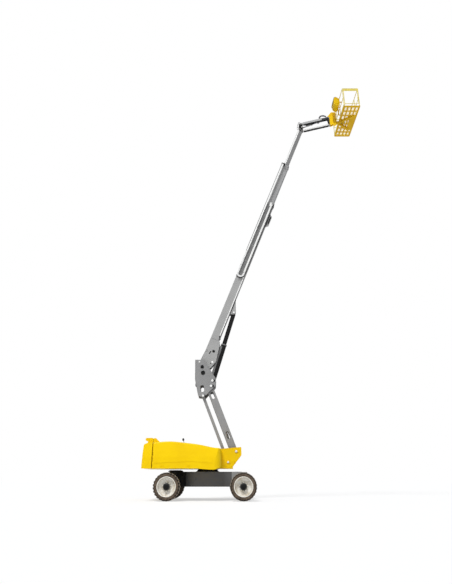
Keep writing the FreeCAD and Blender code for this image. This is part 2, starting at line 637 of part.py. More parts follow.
def hood_volume(inset, drop):
    """The space of the far hood, shrunk by an inset and carried down and inwards by a drop."""
    x0, x1 = HOOD_REAR_X + inset - HOOD_PRESS, HOOD_FRONT_X - inset + HOOD_PRESS
    outline = [(x, z - inset + HOOD_PRESS) for x, z in HOOD_CREST] + [(x, z - drop) for x, z in HOOD_KEEL]
    outline = [(min(max(x, x0), x1), z) for x, z in outline]
    side_view = plate(outline, 0, TURRET_HALF_WIDTH + 10, HOOD_CREST_RADII + HOOD_KEEL_RADII)
    outer = TURRET_HALF_WIDTH - inset
    y0 = HOOD_INNER_Y - drop
    plan = slab([(x0, y0), (x1, y0), (x1, outer), (x0, outer)], 900, 2300, [0, 0, 320 - inset, 0])
    volume = side_view.common(plan).common(section_slab(x0, x1, inset)).Solids[0]
    low = min(z for x, z in HOOD_CREST) - inset - 1
    return volume.makeFillet(HOOD_EDGE_RADIUS - inset, outer_top_edges(volume, low))


def outer_top_edges(volume, low):
    """The edges between a hood's top, which is above a level, and its outer side."""
    edges = []
    for edge in volume.Edges:
        size, middle = edge.BoundBox, edge.CenterOfMass
        if middle.z > low and middle.y > TURRET_HALF_WIDTH / 2 and size.XLength > size.YLength / 3:
            edges.append(edge)
    return edges


def pressed_panel():
    """Raised panel of the far hood's side, which sweeps down towards the front."""
    panel = plate(HOOD_PANEL, TURRET_HALF_WIDTH / 2, TURRET_HALF_WIDTH + 10, HOOD_PANEL_RADII)
    panel = panel.common(section_slab(HOOD_REAR_X, HOOD_FRONT_X))
    return panel.cut(section_slab(HOOD_REAR_X - 10, HOOD_FRONT_X + 10, HOOD_PRESS + HOOD_WALL / 2))


def hood():
    """Hollow hood of the far side, open below and towards the middle, hinged along its top."""
    shell = hood_volume(HOOD_PRESS, 0).cut(hood_volume(HOOD_PRESS + HOOD_WALL, 100))
    return fused([shell, pressed_panel()] + hood_hinge_eyes())


# ---------------------------------------------------------------- riser

def riser_arm():
    """Wide channel with two oval windows a side, modelled along its own length."""
    outline = [(-75, ARM_FRONT), (RISER_LENGTH + 60, ARM_FRONT), (RISER_LENGTH + 88, 0), (RISER_LENGTH + 60, 80),
               (RISER_LENGTH - 80, ARM_REAR), (160, ARM_REAR), (-75, 60)]
    side = plate(outline, ARM_HALF_WIDTH - ARM_PLATE, ARM_HALF_WIDTH, [60, 50, 40, 30, 60, 60, 60])
    for x in (702, RISER_LENGTH - 380):
        side = side.cut(oval(x, (ARM_FRONT + ARM_REAR) / 2, 300, 130, 0, 400))
    inner = ARM_HALF_WIDTH - ARM_PLATE + 2
    front = box(150, RISER_LENGTH - 160, -inner, inner, ARM_FRONT, ARM_FRONT + 12)
    rear = box(RISER_LENGTH - 734, RISER_LENGTH - 170, -inner, inner, ARM_REAR - 12, ARM_REAR)
    pieces = both_sides(side) + [front, rear]
    for x in (0, RISER_LENGTH):
        pieces.append(bar_y(x, 0, 72, -ARM_HALF_WIDTH - 8, ARM_HALF_WIDTH + 8))
    for y0, y1, radius in ((50, 70, 60), (65, inner, 30)):
        pieces += both_sides(bar_y(RISER_CYLINDER_EYE_ALONG, RISER_CYLINDER_EYE_ACROSS, radius, y0, y1))
    whole = fused(pieces)
    for x in (0, RISER_LENGTH):
        whole = whole.cut(bar_y(x, 0, ARM_PIN_RADIUS + PIN_FIT, -400, 400))
    return placed(whole, ARM_FOOT, RISER_ANGLE)


def riser_link():
    """Two flat bars joined by cross tubes, below and behind the arm."""
    bars = both_sides(plate([(-50, -LINK_DEPTH / 2), (RISER_LENGTH + 50, -LINK_DEPTH / 2),
                             (RISER_LENGTH + 50, LINK_DEPTH / 2), (-50, LINK_DEPTH / 2)],
                            LINK_INNER, LINK_OUTER, 50))
    tie_places = (1150, RISER_LENGTH - 874, RISER_LENGTH)
    ties = [bar_y(x, 0, 40, -LINK_INNER - 5, LINK_INNER + 5) for x in tie_places]
    whole = fused(bars + ties)
    for x in (0, RISER_LENGTH):
        whole = whole.cut(bar_y(x, 0, LINK_PIN_RADIUS + PIN_FIT, -400, 400))
    return placed(whole, LINK_FOOT, RISER_ANGLE)


def barrel(length, radius, bore, rod_radius, eye_radius, pin_radius, half_width):
    """Cylinder barrel along X from its foot pin, with a gland at its open end."""
    tube = Part.makeCylinder(radius, length - eye_radius * 0.7, vec(eye_radius * 0.7, 0, 0), vec(1, 0, 0))
    gland = Part.makeCylinder(radius * 1.08, 50, vec(length - 50, 0, 0), vec(1, 0, 0))
    whole = fused([tube, gland, bar_y(0, 0, eye_radius, -half_width, half_width)])
    floor = eye_radius + 25
    whole = whole.cut(Part.makeCylinder(bore, length - 40 - floor, vec(floor, 0, 0), vec(1, 0, 0)))
    whole = whole.cut(Part.makeCylinder(rod_radius + PIN_FIT, 100, vec(length - 60, 0, 0), vec(1, 0, 0)))
    return whole.cut(bar_y(0, 0, pin_radius + PIN_FIT, -half_width - 1, half_width + 1))


def piston_rod(start, length, radius, bore, eye_radius, half_width):
    """Piston and rod along X, ending in a round head at the given length from the barrel's foot."""
    rod = Part.makeCylinder(radius, length - eye_radius * 0.7 - start, vec(start, 0, 0), vec(1, 0, 0))
    piston = Part.makeCylinder(bore - SEAT, 70, vec(start, 0, 0), vec(1, 0, 0))
    return fused([rod, piston, bar_y(length, 0, eye_radius, -half_width, half_width)])


def add_riser_cylinder(nodes):
    length, angle = span(RISER_CYLINDER_FOOT, RISER_CYLINDER_EYE)
    bore = RISER_BARREL_RADIUS - 10
    tube = barrel(RISER_BARREL_LENGTH, RISER_BARREL_RADIUS, bore, RISER_ROD_RADIUS, 50,
                  RISER_CYLINDER_PIN_RADIUS, 60)
    rod = piston_rod(RISER_PISTON_ALONG, length, RISER_ROD_RADIUS, bore, 44, 45)
    nodes["riser_cylinder_barrel"] = placed(tube, RISER_CYLINDER_FOOT, angle)
    nodes["riser_cylinder_rod"] = placed(rod, RISER_CYLINDER_FOOT, angle)


# ---------------------------------------------------------------- knuckle and boom

def knuckle():
    """Two plates that carry the riser's heads below and the boom's foot above."""
    def at(dx, dz):
        return shifted(ARM_HEAD, (dx, dz))
    outline = [at(-679, 1106), at(-299, 1096), at(201, 301), at(191, 16), at(-249, -447), at(-519, -417),
               at(-669, 270)]
    side = plate(outline, KNUCKLE_INNER, KNUCKLE_INNER + KNUCKLE_PLATE, [20, 30, 60, 60, 40, 20, 60])
    side = side.cut(placed(oval(0, 0, 290, 150, 200, 400), at(-359, -109), 95))
    x, z = at(-339, 551)
    bung = bar_y(x, z, 88, KNUCKLE_INNER, KNUCKLE_INNER + KNUCKLE_PLATE + 6)
    inner = KNUCKLE_INNER + 5
    back = plate([at(-663, 281), at(-649, 281), at(-649, 1041), at(-663, 1041)], -inner, inner)
    floor = plate([at(-657, 281), at(-89, 281), at(-89, 295), at(-657, 295)], -inner, inner)
    low_back = plate([at(-665, 281), at(-651, 281), at(-525, -349), at(-539, -349)], -inner, inner)
    pieces = both_sides(side) + both_sides(bung) + [back, floor, low_back]
    outer = KNUCKLE_INNER + KNUCKLE_PLATE + 12
    for (x, z), radius in ((ARM_HEAD, ARM_PIN_RADIUS), (LINK_HEAD, LINK_PIN_RADIUS),
                           (BOOM_PIVOT, BOOM_PIN_RADIUS), (LIFT_FOOT, LIFT_PIN_RADIUS)):
        pieces.append(bar_y(x, z, radius, -outer, outer))
    return fused(pieces)


def boom_base():
    """Outer boom section: box tube, foot plates round the pivot, front collar and lift bracket."""
    tube = hollow_beam(BASE_START, BASE_END, BASE_HALF_WIDTH, BASE_LOW, BASE_HIGH, BASE_WALL, 26)
    foot = plate([(-130, -130), (134, -345), (450, -445), (1300, -300), (1330, BASE_LOW + 10), (1330, BASE_HIGH - 10),
                  (700, BASE_HIGH), (330, 190), (60, 190), (-130, 90)],
                 BASE_HALF_WIDTH, BASE_HALF_WIDTH + FOOT_PLATE, [90, 30, 30, 60, 20, 20, 100, 60, 60, 90])
    pieces = [tube] + both_sides(foot)
    pieces.append(bar_y(0, 0, 112, -KNUCKLE_INNER + 8, KNUCKLE_INNER - 8))
    collar_low, collar_high = BASE_LOW - 14, BASE_HIGH + 14
    collar = beam(BASE_END - 110, BASE_END, BASE_HALF_WIDTH + 14, collar_low, collar_high, 34)
    hole = beam(BASE_END - 120, BASE_END + 10, MID_HALF_WIDTH + SEAT, MID_LOW - SEAT, MID_HIGH + SEAT, 22)
    room = beam(BASE_END - 120, BASE_END - 30, BASE_HALF_WIDTH - 2, BASE_LOW + 2, BASE_HIGH - 2, 20)
    pieces.append(collar.cut(hole).cut(room))
    bracket = plate([(2640, BASE_LOW + 4), (2700, LIFT_EYE_ACROSS), (2740, LIFT_EYE_ACROSS - 70),
                     (2860, LIFT_EYE_ACROSS - 70), (3400, BASE_LOW + 4)],
                    LIFT_BRACKET_INNER, LIFT_BRACKET_INNER + LIFT_BRACKET_PLATE, [0, 30, 50, 50, 0])
    pieces += both_sides(bracket)
    pieces += both_sides(bar_y(LIFT_EYE_ALONG, LIFT_EYE_ACROSS, LIFT_PIN_RADIUS, LIFT_BRACKET_INNER + 4,
                               LIFT_BRACKET_INNER + LIFT_BRACKET_PLATE + 14))
    saddle = plate([(7380, BASE_LOW + 4), (7480, -345), (7960, -345), (8060, BASE_LOW + 4)], -60, 60,
                   [0, 30, 30, 0])
    pieces.append(saddle)
    whole = fused(pieces)
    whole = whole.cut(bar_y(0, 0, BOOM_PIN_RADIUS + PIN_FIT, -400, 400))
    return placed(whole, BOOM_PIVOT, BOOM_ANGLE)


def section_tube(x0, x1, half_width, low, high, wall, outer_half, outer_low, outer_high):
    """Inner boom section with a slide ring at its rear that fits the section around it."""
    tube = hollow_beam(x0, x1, half_width, low, high, wall, 22)
    ring = beam(x0, x0 + 90, outer_half - SEAT, outer_low + SEAT, outer_high - SEAT, 17)
    ring = ring.cut(beam(x0 - 1, x0 + 91, half_width - wall, low + wall, high - wall, 15))
    return fused([tube, ring])


def boom_mid():
    inside = BASE_WALL
    tube = section_tube(MID_START, MID_END, MID_HALF_WIDTH, MID_LOW, MID_HIGH, MID_WALL,
                        BASE_HALF_WIDTH - inside, BASE_LOW + inside, BASE_HIGH - inside)
    collar = beam(MID_END - 80, MID_END, MID_HALF_WIDTH + 12, MID_LOW - 12, MID_HIGH + 12, 28)
    hole = beam(MID_END - 90, MID_END + 10, FLY_HALF_WIDTH + SEAT, FLY_LOW - SEAT, FLY_HIGH + SEAT, 20)
    collar = collar.cut(hole)
    collar = collar.cut(beam(MID_END - 90, MID_END - 30, MID_HALF_WIDTH - 2, MID_LOW + 2, MID_HIGH - 2, 18))
    return placed(fused([tube, collar]), BOOM_PIVOT, BOOM_ANGLE)


def boom_fly():
    inside = MID_WALL
    tube = section_tube(FLY_START, FLY_END, FLY_HALF_WIDTH, FLY_LOW, FLY_HIGH, FLY_WALL,
                        MID_HALF_WIDTH - inside, MID_LOW + inside, MID_HIGH - inside)
    cap = beam(FLY_END - 12, FLY_END, FLY_HALF_WIDTH - 2, FLY_LOW + 2, FLY_HIGH - 2, 18)
    tongue = plate([(FLY_END - 6, -90), (HEAD_ALONG - 10, -62), (HEAD_ALONG + 62, 0), (HEAD_ALONG - 10, 62),
                    (FLY_END - 6, 62)], -HEAD_INNER + SLIDE_GAP, HEAD_INNER - SLIDE_GAP, [0, 40, 60, 40, 0])
    whole = fused([tube, cap, tongue]).cut(bar_y(HEAD_ALONG, 0, HEAD_PIN_RADIUS + PIN_FIT, -200, 200))
    return placed(whole, BOOM_PIVOT, BOOM_ANGLE)


def add_lift_cylinder(nodes):
    length, angle = span(LIFT_FOOT, LIFT_EYE)
    bore = LIFT_BARREL_RADIUS - 12
    tube = barrel(LIFT_BARREL_LENGTH, LIFT_BARREL_RADIUS, bore, LIFT_ROD_RADIUS, 100, LIFT_PIN_RADIUS, 62)
    pipes = [Part.makeCylinder(13, LIFT_BARREL_LENGTH - 200, vec(120, y, LIFT_BARREL_RADIUS + 9), vec(1, 0, 0))
             for y in (-24, 24)]
    rod = piston_rod(LIFT_PISTON_ALONG, length, LIFT_ROD_RADIUS, bore, 66, LIFT_BRACKET_INNER - SLIDE_GAP)
    nodes["lift_cylinder_barrel"] = placed(fused([tube] + pipes), LIFT_FOOT, angle)
    nodes["lift_cylinder_rod"] = placed(rod, LIFT_FOOT, angle)


# ---------------------------------------------------------------- energy chain

def chain_levels():
    """Inner face, outer face and outer case face of the chain, as distances to the near side."""
    inner = BASE_HALF_WIDTH + FOOT_PLATE + CHAIN_STRIP + SEAT
    return inner, inner + CHAIN_THICKNESS, inner + CHAIN_THICKNESS + SLIDE_GAP + CHAIN_CASE_WALL


def chain_case(x0, x1, centre):
    """Three-sided case over one leg of the chain, open towards the boom."""
    inner, outer, case = chain_levels()
    half = CHAIN_DEPTH / 2 + SLIDE_GAP
    wall = CHAIN_CASE_WALL
    shell = box(x0, x1, -case, -inner, centre - half - wall, centre + half + wall)
    return shell.cut(box(x0 - 1, x1 + 1, -case + wall, -inner + 1, centre - half, centre + half))


def chain_carrier():
    """Flat strip that the chain slides on, and the case of its fixed leg."""
    face = BASE_HALF_WIDTH + FOOT_PLATE + CHAIN_STRIP
    low = -CHAIN_SPREAD - CHAIN_DEPTH / 2 - 10
    high = CHAIN_SPREAD + CHAIN_DEPTH / 2
    strip = box(CHAIN_STRIP_START, BASE_END - 130, -face, -face + CHAIN_STRIP, low, high)
    feet = [box(x, x + 60, -face + CHAIN_STRIP, -BASE_HALF_WIDTH - SEAT, low + 20, high - 20)
            for x in CHAIN_STRIP_FEET]
    inner = chain_levels()[0]
    fixed = chain_case(CHAIN_BEND_ALONG + 120, BASE_END - 140, -CHAIN_SPREAD)
    seat = box(BASE_END - 220, BASE_END - 140, -inner - 1, -face + 1, -CHAIN_SPREAD - 42, -CHAIN_SPREAD + 42)
    return placed(fused([strip, fixed, seat] + feet), BOOM_PIVOT, BOOM_ANGLE)


def chain_loop():
    """The chain's bend with a stretch of both legs."""
    inner, outer, case = chain_levels()
    depth = CHAIN_DEPTH / 2
    big, small = CHAIN_SPREAD + depth, CHAIN_SPREAD - depth
    bend = ring_y(CHAIN_BEND_ALONG, 0, big, small, -outer, -inner)
    rear_half = box(CHAIN_BEND_ALONG - big - 1, CHAIN_BEND_ALONG, -outer - 1, -inner + 1, -big - 1, big + 1)
    bend = bend.common(rear_half)
    legs = [box(CHAIN_BEND_ALONG - 1, CHAIN_BEND_ALONG + CHAIN_LEG, -outer, -inner, c - depth, c + depth)
            for c in (-CHAIN_SPREAD, CHAIN_SPREAD)]
    return placed(fused([bend] + legs), BOOM_PIVOT, BOOM_ANGLE)


def chain_leg():
    """Case of the chain's moving leg, carried by the middle section's head."""
    inner, outer, case = chain_levels()
    shell = chain_case(CHAIN_BEND_ALONG + 1180, MID_END - 20, CHAIN_SPREAD)
    high = CHAIN_SPREAD + CHAIN_DEPTH / 2 + SLIDE_GAP + CHAIN_CASE_WALL
    arm = box(MID_END - 75, MID_END - 20, -case, -MID_HALF_WIDTH - 12 - SEAT, MID_HIGH - 60, high)
    return placed(fused([shell, arm]), BOOM_PIVOT, BOOM_ANGLE)


# ---------------------------------------------------------------- jib and basket

def jib_head():
    """Pair of plates on the boom's tip that carry the jib's arm, link and cylinder."""
    x, z = HEAD_PIVOT
    link_x, link_z = JIB_LINK_FOOT
    arm_x, arm_z = JIB_FOOT
    foot_x, foot_z = JIB_CYLINDER_FOOT
    outline = [(x - 58, z - 50), (x + 40, z - 62), (link_x - 20, link_z - 48), (link_x + 50, link_z - 48),
               (link_x + 55, link_z + 50), (foot_x + 52, foot_z + 20), (arm_x + 58, arm_z + 50),
               (arm_x - 55, arm_z + 50)]
    side = plate(outline, HEAD_INNER, HEAD_INNER + HEAD_PLATE, [50, 60, 40, 40, 60, 100, 45, 45])
    outer = HEAD_INNER + HEAD_PLATE + 6
    pieces = both_sides(side)
    for (px, pz), radius in ((HEAD_PIVOT, HEAD_PIN_RADIUS), (JIB_CYLINDER_FOOT, JIB_PIN_RADIUS)):
        pieces.append(bar_y(px, pz, radius, -outer, outer))
    for px, pz in (JIB_FOOT, JIB_LINK_FOOT):
        pieces += both_sides(bar_y(px, pz, JIB_PIN_RADIUS, JIB_INNER - 4, outer))
    return fused(pieces)


def jib_arm():
    """Channel, open below and notched at its foot, with a bracket inside for the cylinder's eye."""
    half = JIB_DEPTH / 2
    outer = JIB_INNER + JIB_PLATE
    eye = JIB_EYE_ALONG
    outline = [(-half, -34), (190, -34), (270, -half), (JIB_LENGTH + half, -half), (JIB_LENGTH + half, half),
               (-half, half)]
    side = plate(outline, JIB_INNER, outer, [30, 40, 60, half - 2, half - 2, 60])
    ear_outline = [(eye - 80, half - 5), (eye - 40, JIB_EYE_ACROSS - 36), (eye + 40, JIB_EYE_ACROSS - 36),
                   (eye + 80, half - 5)]
    ear = plate(ear_outline, JIB_EAR_INNER, JIB_EAR_INNER + JIB_EAR_PLATE, [0, 30, 30, 0])
    top = box(90, JIB_LENGTH - 90, -JIB_INNER - 2, JIB_INNER + 2, half - JIB_PLATE, half)
    pieces = both_sides(side) + [top]
    pieces += both_sides(ear)
    pin_end = JIB_EAR_INNER + JIB_EAR_PLATE + 3
    pieces += both_sides(bar_y(eye, JIB_EYE_ACROSS, JIB_PIN_RADIUS, JIB_EAR_INNER, pin_end))
    pieces.append(bar_y(JIB_LENGTH, 0, 36, -outer, outer))
    whole = fused(pieces)
    for x in (0, JIB_LENGTH):
        whole = whole.cut(bar_y(x, 0, JIB_PIN_RADIUS + PIN_FIT, -200, 200))
    return placed(whole, JIB_FOOT, JIB_ANGLE)


def jib_link():
    """Pair of flat bars that keep the basket level."""
    half = JIB_LINK_DEPTH / 2
    outer = JIB_INNER + JIB_PLATE
    side = plate([(-half, -half), (JIB_LENGTH + half, -half), (JIB_LENGTH + half, half), (-half, half)],
                 JIB_INNER, outer, half - 2)
    pieces = both_sides(side)
    pieces.append(bar_y(JIB_LENGTH, 0, 27, -outer, outer))
    whole = fused(pieces)
    for x in (0, JIB_LENGTH):
        whole = whole.cut(bar_y(x, 0, JIB_PIN_RADIUS + PIN_FIT, -200, 200))
    return placed(whole, JIB_LINK_FOOT, JIB_ANGLE)


def add_jib_cylinder(nodes):
    length, angle = span(JIB_CYLINDER_FOOT, JIB_EYE)
    bore = JIB_BARREL_RADIUS - 6
    tube = barrel(JIB_BARREL_LENGTH, JIB_BARREL_RADIUS, bore, JIB_ROD_RADIUS, 31, JIB_PIN_RADIUS, 34)
    rod = piston_rod(JIB_PISTON_ALONG, length, JIB_ROD_RADIUS, bore, 27, 28)
    nodes["jib_cylinder_barrel"] = placed(tube, JIB_CYLINDER_FOOT, angle)
    nodes["jib_cylinder_rod"] = placed(rod, JIB_CYLINDER_FOOT, angle)


def basket_mount():
    """Bracket on the jib's end with the upright pin that the basket turns on."""
    x, z = JIB_END
    link_x, link_z = JIB_LINK_END
    face = ROTATOR_X - ROTATOR_SLEEVE_RADIUS - 8
    low, high = ROTATOR_BOTTOM - 45, ROTATOR_TOP + 40
    outline = [(x - 60, z - 55), (link_x - 50, link_z - 42), (link_x + 45, link_z - 42), (face, low), (face, high),
               (face - 90, high), (x - 60, z + 70)]
    side = plate(outline, HEAD_INNER, HEAD_INNER + HEAD_PLATE, [50, 30, 30, 0, 0, 40, 50])
    pieces = both_sides(side)
    outer = HEAD_INNER + HEAD_PLATE
    for z0, z1 in ((low, ROTATOR_BOTTOM - SEAT), (ROTATOR_TOP + SEAT, high)):
        lug = slab([(face - 20, -outer), (ROTATOR_X + 80, -outer), (ROTATOR_X + 80, outer), (face - 20, outer)],
                   z0, z1, [0, 70, 70, 0])
        pieces.append(lug)
    pieces.append(box(face - 20, face, -HEAD_INNER - 2, HEAD_INNER + 2, low + 25, high - 20))
    pieces.append(bar_z(ROTATOR_X, 0, ROTATOR_PIN_RADIUS, low + 5, high - 10))
    for px, pz in (JIB_END, JIB_LINK_END):
        pieces.append(bar_y(px, pz, JIB_PIN_RADIUS, -outer - 6, outer + 6))
    return fused(pieces)


def basket_carrier():
    """Sleeve on the rotator pin with a neck, two splayed arms and a cross plate below the floor."""
    z0, z1 = BASKET_FLOOR - CARRIER_DEPTH, BASKET_FLOOR + 5
    root, tip, reach = ROTATOR_X + 170, BASKET_FRONT_X - 60, 545
    pieces = [bar_z(ROTATOR_X, 0, ROTATOR_SLEEVE_RADIUS, ROTATOR_BOTTOM, ROTATOR_TOP)]
    pieces.append(box(ROTATOR_X + 20, root + 40, -60, 60, z0, z1))
    for side in (-1, 1):
        far = tip - 200
        arm = slab([(root, 0), (root, side * 60), (far, side * reach), (far, side * (reach - 140))], z0, z1)
        pieces.append(arm)
    pieces.append(box(tip - 270, tip, -reach, reach, z1 - 60, z1))
    pieces.append(box(BASKET_REAR_X, BASKET_REAR_X + 60, -200, 200, z0 + 40, z1))
    whole = fused(pieces)
    return whole.cut(bar_z(ROTATOR_X, 0, ROTATOR_PIN_RADIUS + PIN_FIT, ROTATOR_BOTTOM - 1, ROTATOR_TOP + 1))


def basket_floor():
    """Floor frame with a grid of bars, on its carrier."""
    z0, z1 = BASKET_FLOOR, BASKET_FLOOR + FLOOR_FRAME_HEIGHT
    x0, x1, half = BASKET_REAR_X, BASKET_FRONT_X, BASKET_HALF_LENGTH
    edge = FLOOR_FRAME_WIDTH
    radii = [60, 30, 60, 30]
    frame = slab([(x0, -half), (x1, -half), (x1, half), (x0, half)], z0, z1, radii)
    frame = frame.cut(box(x0 + edge, x1 - edge, -half + edge, half - edge, z0 - 1, z1 + 1))
    pieces = [frame]
    bar_half = FLOOR_BAR_WIDTH / 2
    for i in range(1, FLOOR_COLUMNS):
        x = x0 + edge / 2 + (x1 - x0 - edge) * i / FLOOR_COLUMNS
        pieces.append(box(x - bar_half, x + bar_half, -half + 5, half - 5, z0, z1 - 10))
    for i in range(1, FLOOR_ROWS):
        y = -half + edge / 2 + (2 * half - edge) * i / FLOOR_ROWS
        pieces.append(box(x0 + 5, x1 - 5, y - bar_half, y + bar_half, z0, z1 - 10))
    return fused(pieces + [basket_carrier()])


def basket_rails():
    """Posts, top rails and middle rails on three sides and beside the gate."""
    inset = RAIL_RADIUS + 4
    x0, x1, half = BASKET_REAR_X + inset, BASKET_FRONT_X - inset, BASKET_HALF_LENGTH - inset
    low, top = BASKET_FLOOR + FLOOR_FRAME_HEIGHT, RAIL_TOP - RAIL_RADIUS
    middle = BASKET_FLOOR + RAIL_HEIGHT / 2
    loop = [vec(x0, -half, low), vec(x0, -half, top), vec(x0, half, top), vec(x1, half, top),
            vec(x1, -half, top), vec(x1, -half, low)]
    waist = [vec(x0, -half, middle), vec(x0, half, middle), vec(x1, half, middle), vec(x1, -half, middle)]
    pieces = [rail(loop, RAIL_RADIUS), rail(waist, RAIL_RADIUS * 0.8)]
    for x in (x0, x1):
        for y in (-half / 3, half / 3, half):
            pieces.append(bar(vec(x, y, low), vec(x, y, top), RAIL_RADIUS))
    return fused(pieces + gate_eyes())


def gate_line():
    """Hinge X, latch X and Y of the gate across the near end."""
    inset = RAIL_RADIUS + 4
    hinge_x = BASKET_REAR_X + inset + 2 * RAIL_RADIUS + 8
    return hinge_x, BASKET_FRONT_X - inset - RAIL_RADIUS - SLIDE_GAP, -BASKET_HALF_LENGTH + inset


def gate_eyes():
    """Eyes on the corner post that the gate's pins turn in."""
    x, _, y = gate_line()
    pieces = []
    for z in (GATE_LOW - 60, RAIL_TOP - GATE_EYE_DROP):
        eye = fused([bar_z(x, y, 16, z, z + 30), box(BASKET_REAR_X + 10, x, y - 6, y + 6, z, z + 30)])
        pieces.append(eye.cut(bar_z(x, y, GATE_PIN_RADIUS + PIN_FIT, z - 1, z + 31)))
    return pieces


def gate():
    """Swing gate across the near end: three bars between two uprights, with a sheet below the top bar."""
    x0, x1, y = gate_line()
    top = RAIL_TOP - RAIL_RADIUS
    radius = RAIL_RADIUS - 2
    x1 -= radius
    upper_start = RAIL_TOP - GATE_EYE_DROP + 30 + SEAT
    pieces = [rail([vec(x0, y, upper_start), vec(x0, y, top), vec(x1, y, top), vec(x1, y, GATE_LOW),
                    vec(x0, y, GATE_LOW), vec(x0, y, RAIL_TOP - GATE_EYE_DROP - SEAT)], radius)]
    band = RAIL_TOP - GATE_BAND
    pieces.append(bar(vec(x0, y, band), vec(x1, y, band), radius - 2))
    pieces.append(box(x0, x1, y - 3, y + 3, band, top))
    for z in (GATE_LOW - 60, RAIL_TOP - GATE_EYE_DROP):
        pieces.append(bar_z(x0, y, GATE_PIN_RADIUS, z - 10, z + 40 + (20 if z < GATE_LOW else 0)))
    return fused(pieces)


def console():
    """Control console beside the basket's inner long side, on two brackets and a bent leg."""
    x, z = ROTATOR_X, BASKET_FLOOR
    outline = [(x - 205, z + 590), (x - 160, z + 820), (x - 50, z + 850), (x + 90, z + 740), (x + 110, z + 490),
               (x + 70, z + 340), (x - 50, z + 295), (x - 160, z + 390)]
    case = plate(outline, -870, -400, [60, 50, 60, 80, 80, 50, 60, 60])
    waist = z + RAIL_HEIGHT / 2
    face = BASKET_REAR_X + 4 + 0.2 * RAIL_RADIUS - SEAT
    pieces = [case] + [box(x, face, y, y + 40, waist - 20, waist + 20) for y in (-820, -460)]
    leg_z = z + FLOOR_FRAME_HEIGHT / 2
    leg = [vec(x + 95, -500, z + 520), vec(x + 95, -500, leg_z), vec(BASKET_REAR_X - SEAT, -500, leg_z)]
    pieces.append(rail(leg, 26))
    return fused(pieces)


def beacon():
    """Lamp on a thin leaning stalk on the far hood."""
    start, end = HOOD_CREST[1], HOOD_CREST[2]
    x, y = BEACON_PLACE
    z = start[1] + (end[1] - start[1]) * (x - start[0]) / (end[0] - start[0])
    slope = span(start, end)[1]
    foot = placed(bar_z(0, y, 24, SEAT, 12), (x, z), slope)
    outline = [(0, 0), (11, 0), (11, 165), (34, 172), (43, 190), (43, 232), (34, 256), (16, 268), (0, 268)]
    wire = Part.makePolygon([vec(r, 0, h) for r, h in outline + outline[:1]])
    lamp = Part.Face(wire).revolve(vec(0, 0, 0), vec(0, 0, 1), 360)
    lamp.rotate(vec(0, 0, 0), vec(0, 1, 0), -15)
    lamp.translate(vec(x, y, z + 8))
    return fused([foot, lamp])


def tanks():
    """Oil tank and fuel tank side by side below the far hood."""
    z0 = TURRET_BOTTOM + DECK_PLATE + SEAT
    half = (TURRET_HALF_WIDTH - HOOD_INNER_Y) / 2 - TANK_CLEARANCE
    oil = beam(-1800, -900, half, z0, 1780, 60)
    fuel = beam(-896, 60, half, z0, 1700, 60)
    whole = fused([oil, fuel, box(-902, -894, 60 - half, half - 60, z0, 1600)])
    whole.translate(vec(0, (HOOD_INNER_Y + TURRET_HALF_WIDTH) / 2 - 50, 0))
    return whole


def engine_block():
    """Plain block in place of the engine and its pumps."""
    outer, inner = TURRET_HALF_WIDTH - ENGINE_CLEARANCE, HOOD_INNER_Y + 60
    return box(-1750, -850, -outer, -inner, TURRET_BOTTOM + DECK_PLATE + SEAT, 1820)


def add_turret(nodes):
    nodes["turret_frame"] = turret_frame()
    nodes["counterweight"] = counterweight()
    nodes["engine_block"] = engine_block()
    nodes["tanks"] = tanks()
    far = hood()
    nodes["hood_far"] = far
    nodes["hood_near"] = mirrored(far)
    nodes["beacon"] = beacon()


def build():
    nodes = {}
    nodes["chassis_frame"] = chassis_frame()
    nodes["axle_cover"] = axle_cover()
    nodes["steer_axle"] = steer_axle()
    nodes["drive_axle"] = drive_axle()
    nodes["steer_knuckle_near"] = knuckle_block(-1)
    nodes["steer_knuckle_far"] = knuckle_block(1)
    nodes["tie_rod"] = tie_rod()
    add_wheels(nodes)
    add_turret(nodes)
    nodes["riser_arm"] = riser_arm()
    nodes["riser_link"] = riser_link()
    add_riser_cylinder(nodes)
    nodes["knuckle"] = knuckle()
    nodes["boom_base"] = boom_base()
    nodes["boom_mid"] = boom_mid()
    nodes["boom_fly"] = boom_fly()
    add_lift_cylinder(nodes)
    nodes["chain_carrier"] = chain_carrier()
    nodes["chain_loop"] = chain_loop()
    nodes["chain_leg"] = chain_leg()
    nodes["jib_head"] = jib_head()
    nodes["jib_arm"] = jib_arm()
    nodes["jib_link"] = jib_link()
    add_jib_cylinder(nodes)
    nodes["basket_mount"] = basket_mount()
    nodes["basket_floor"] = basket_floor()
    nodes["basket_rails"] = basket_rails()
    nodes["gate"] = gate()
    nodes["console"] = console()
    return nodes


os.makedirs("parts", exist_ok=True)
NODES = build()
for node_name, node_shape in NODES.items():
    node_shape.translate(vec(-ORIGIN_X, 0, 0))
    node_shape.exportStep(os.path.join("parts", node_name + ".step"))
    print(node_name, len(node_shape.Solids), round(node_shape.Volume / 1e9, 5), node_shape.isValid())
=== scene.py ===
import json
import math

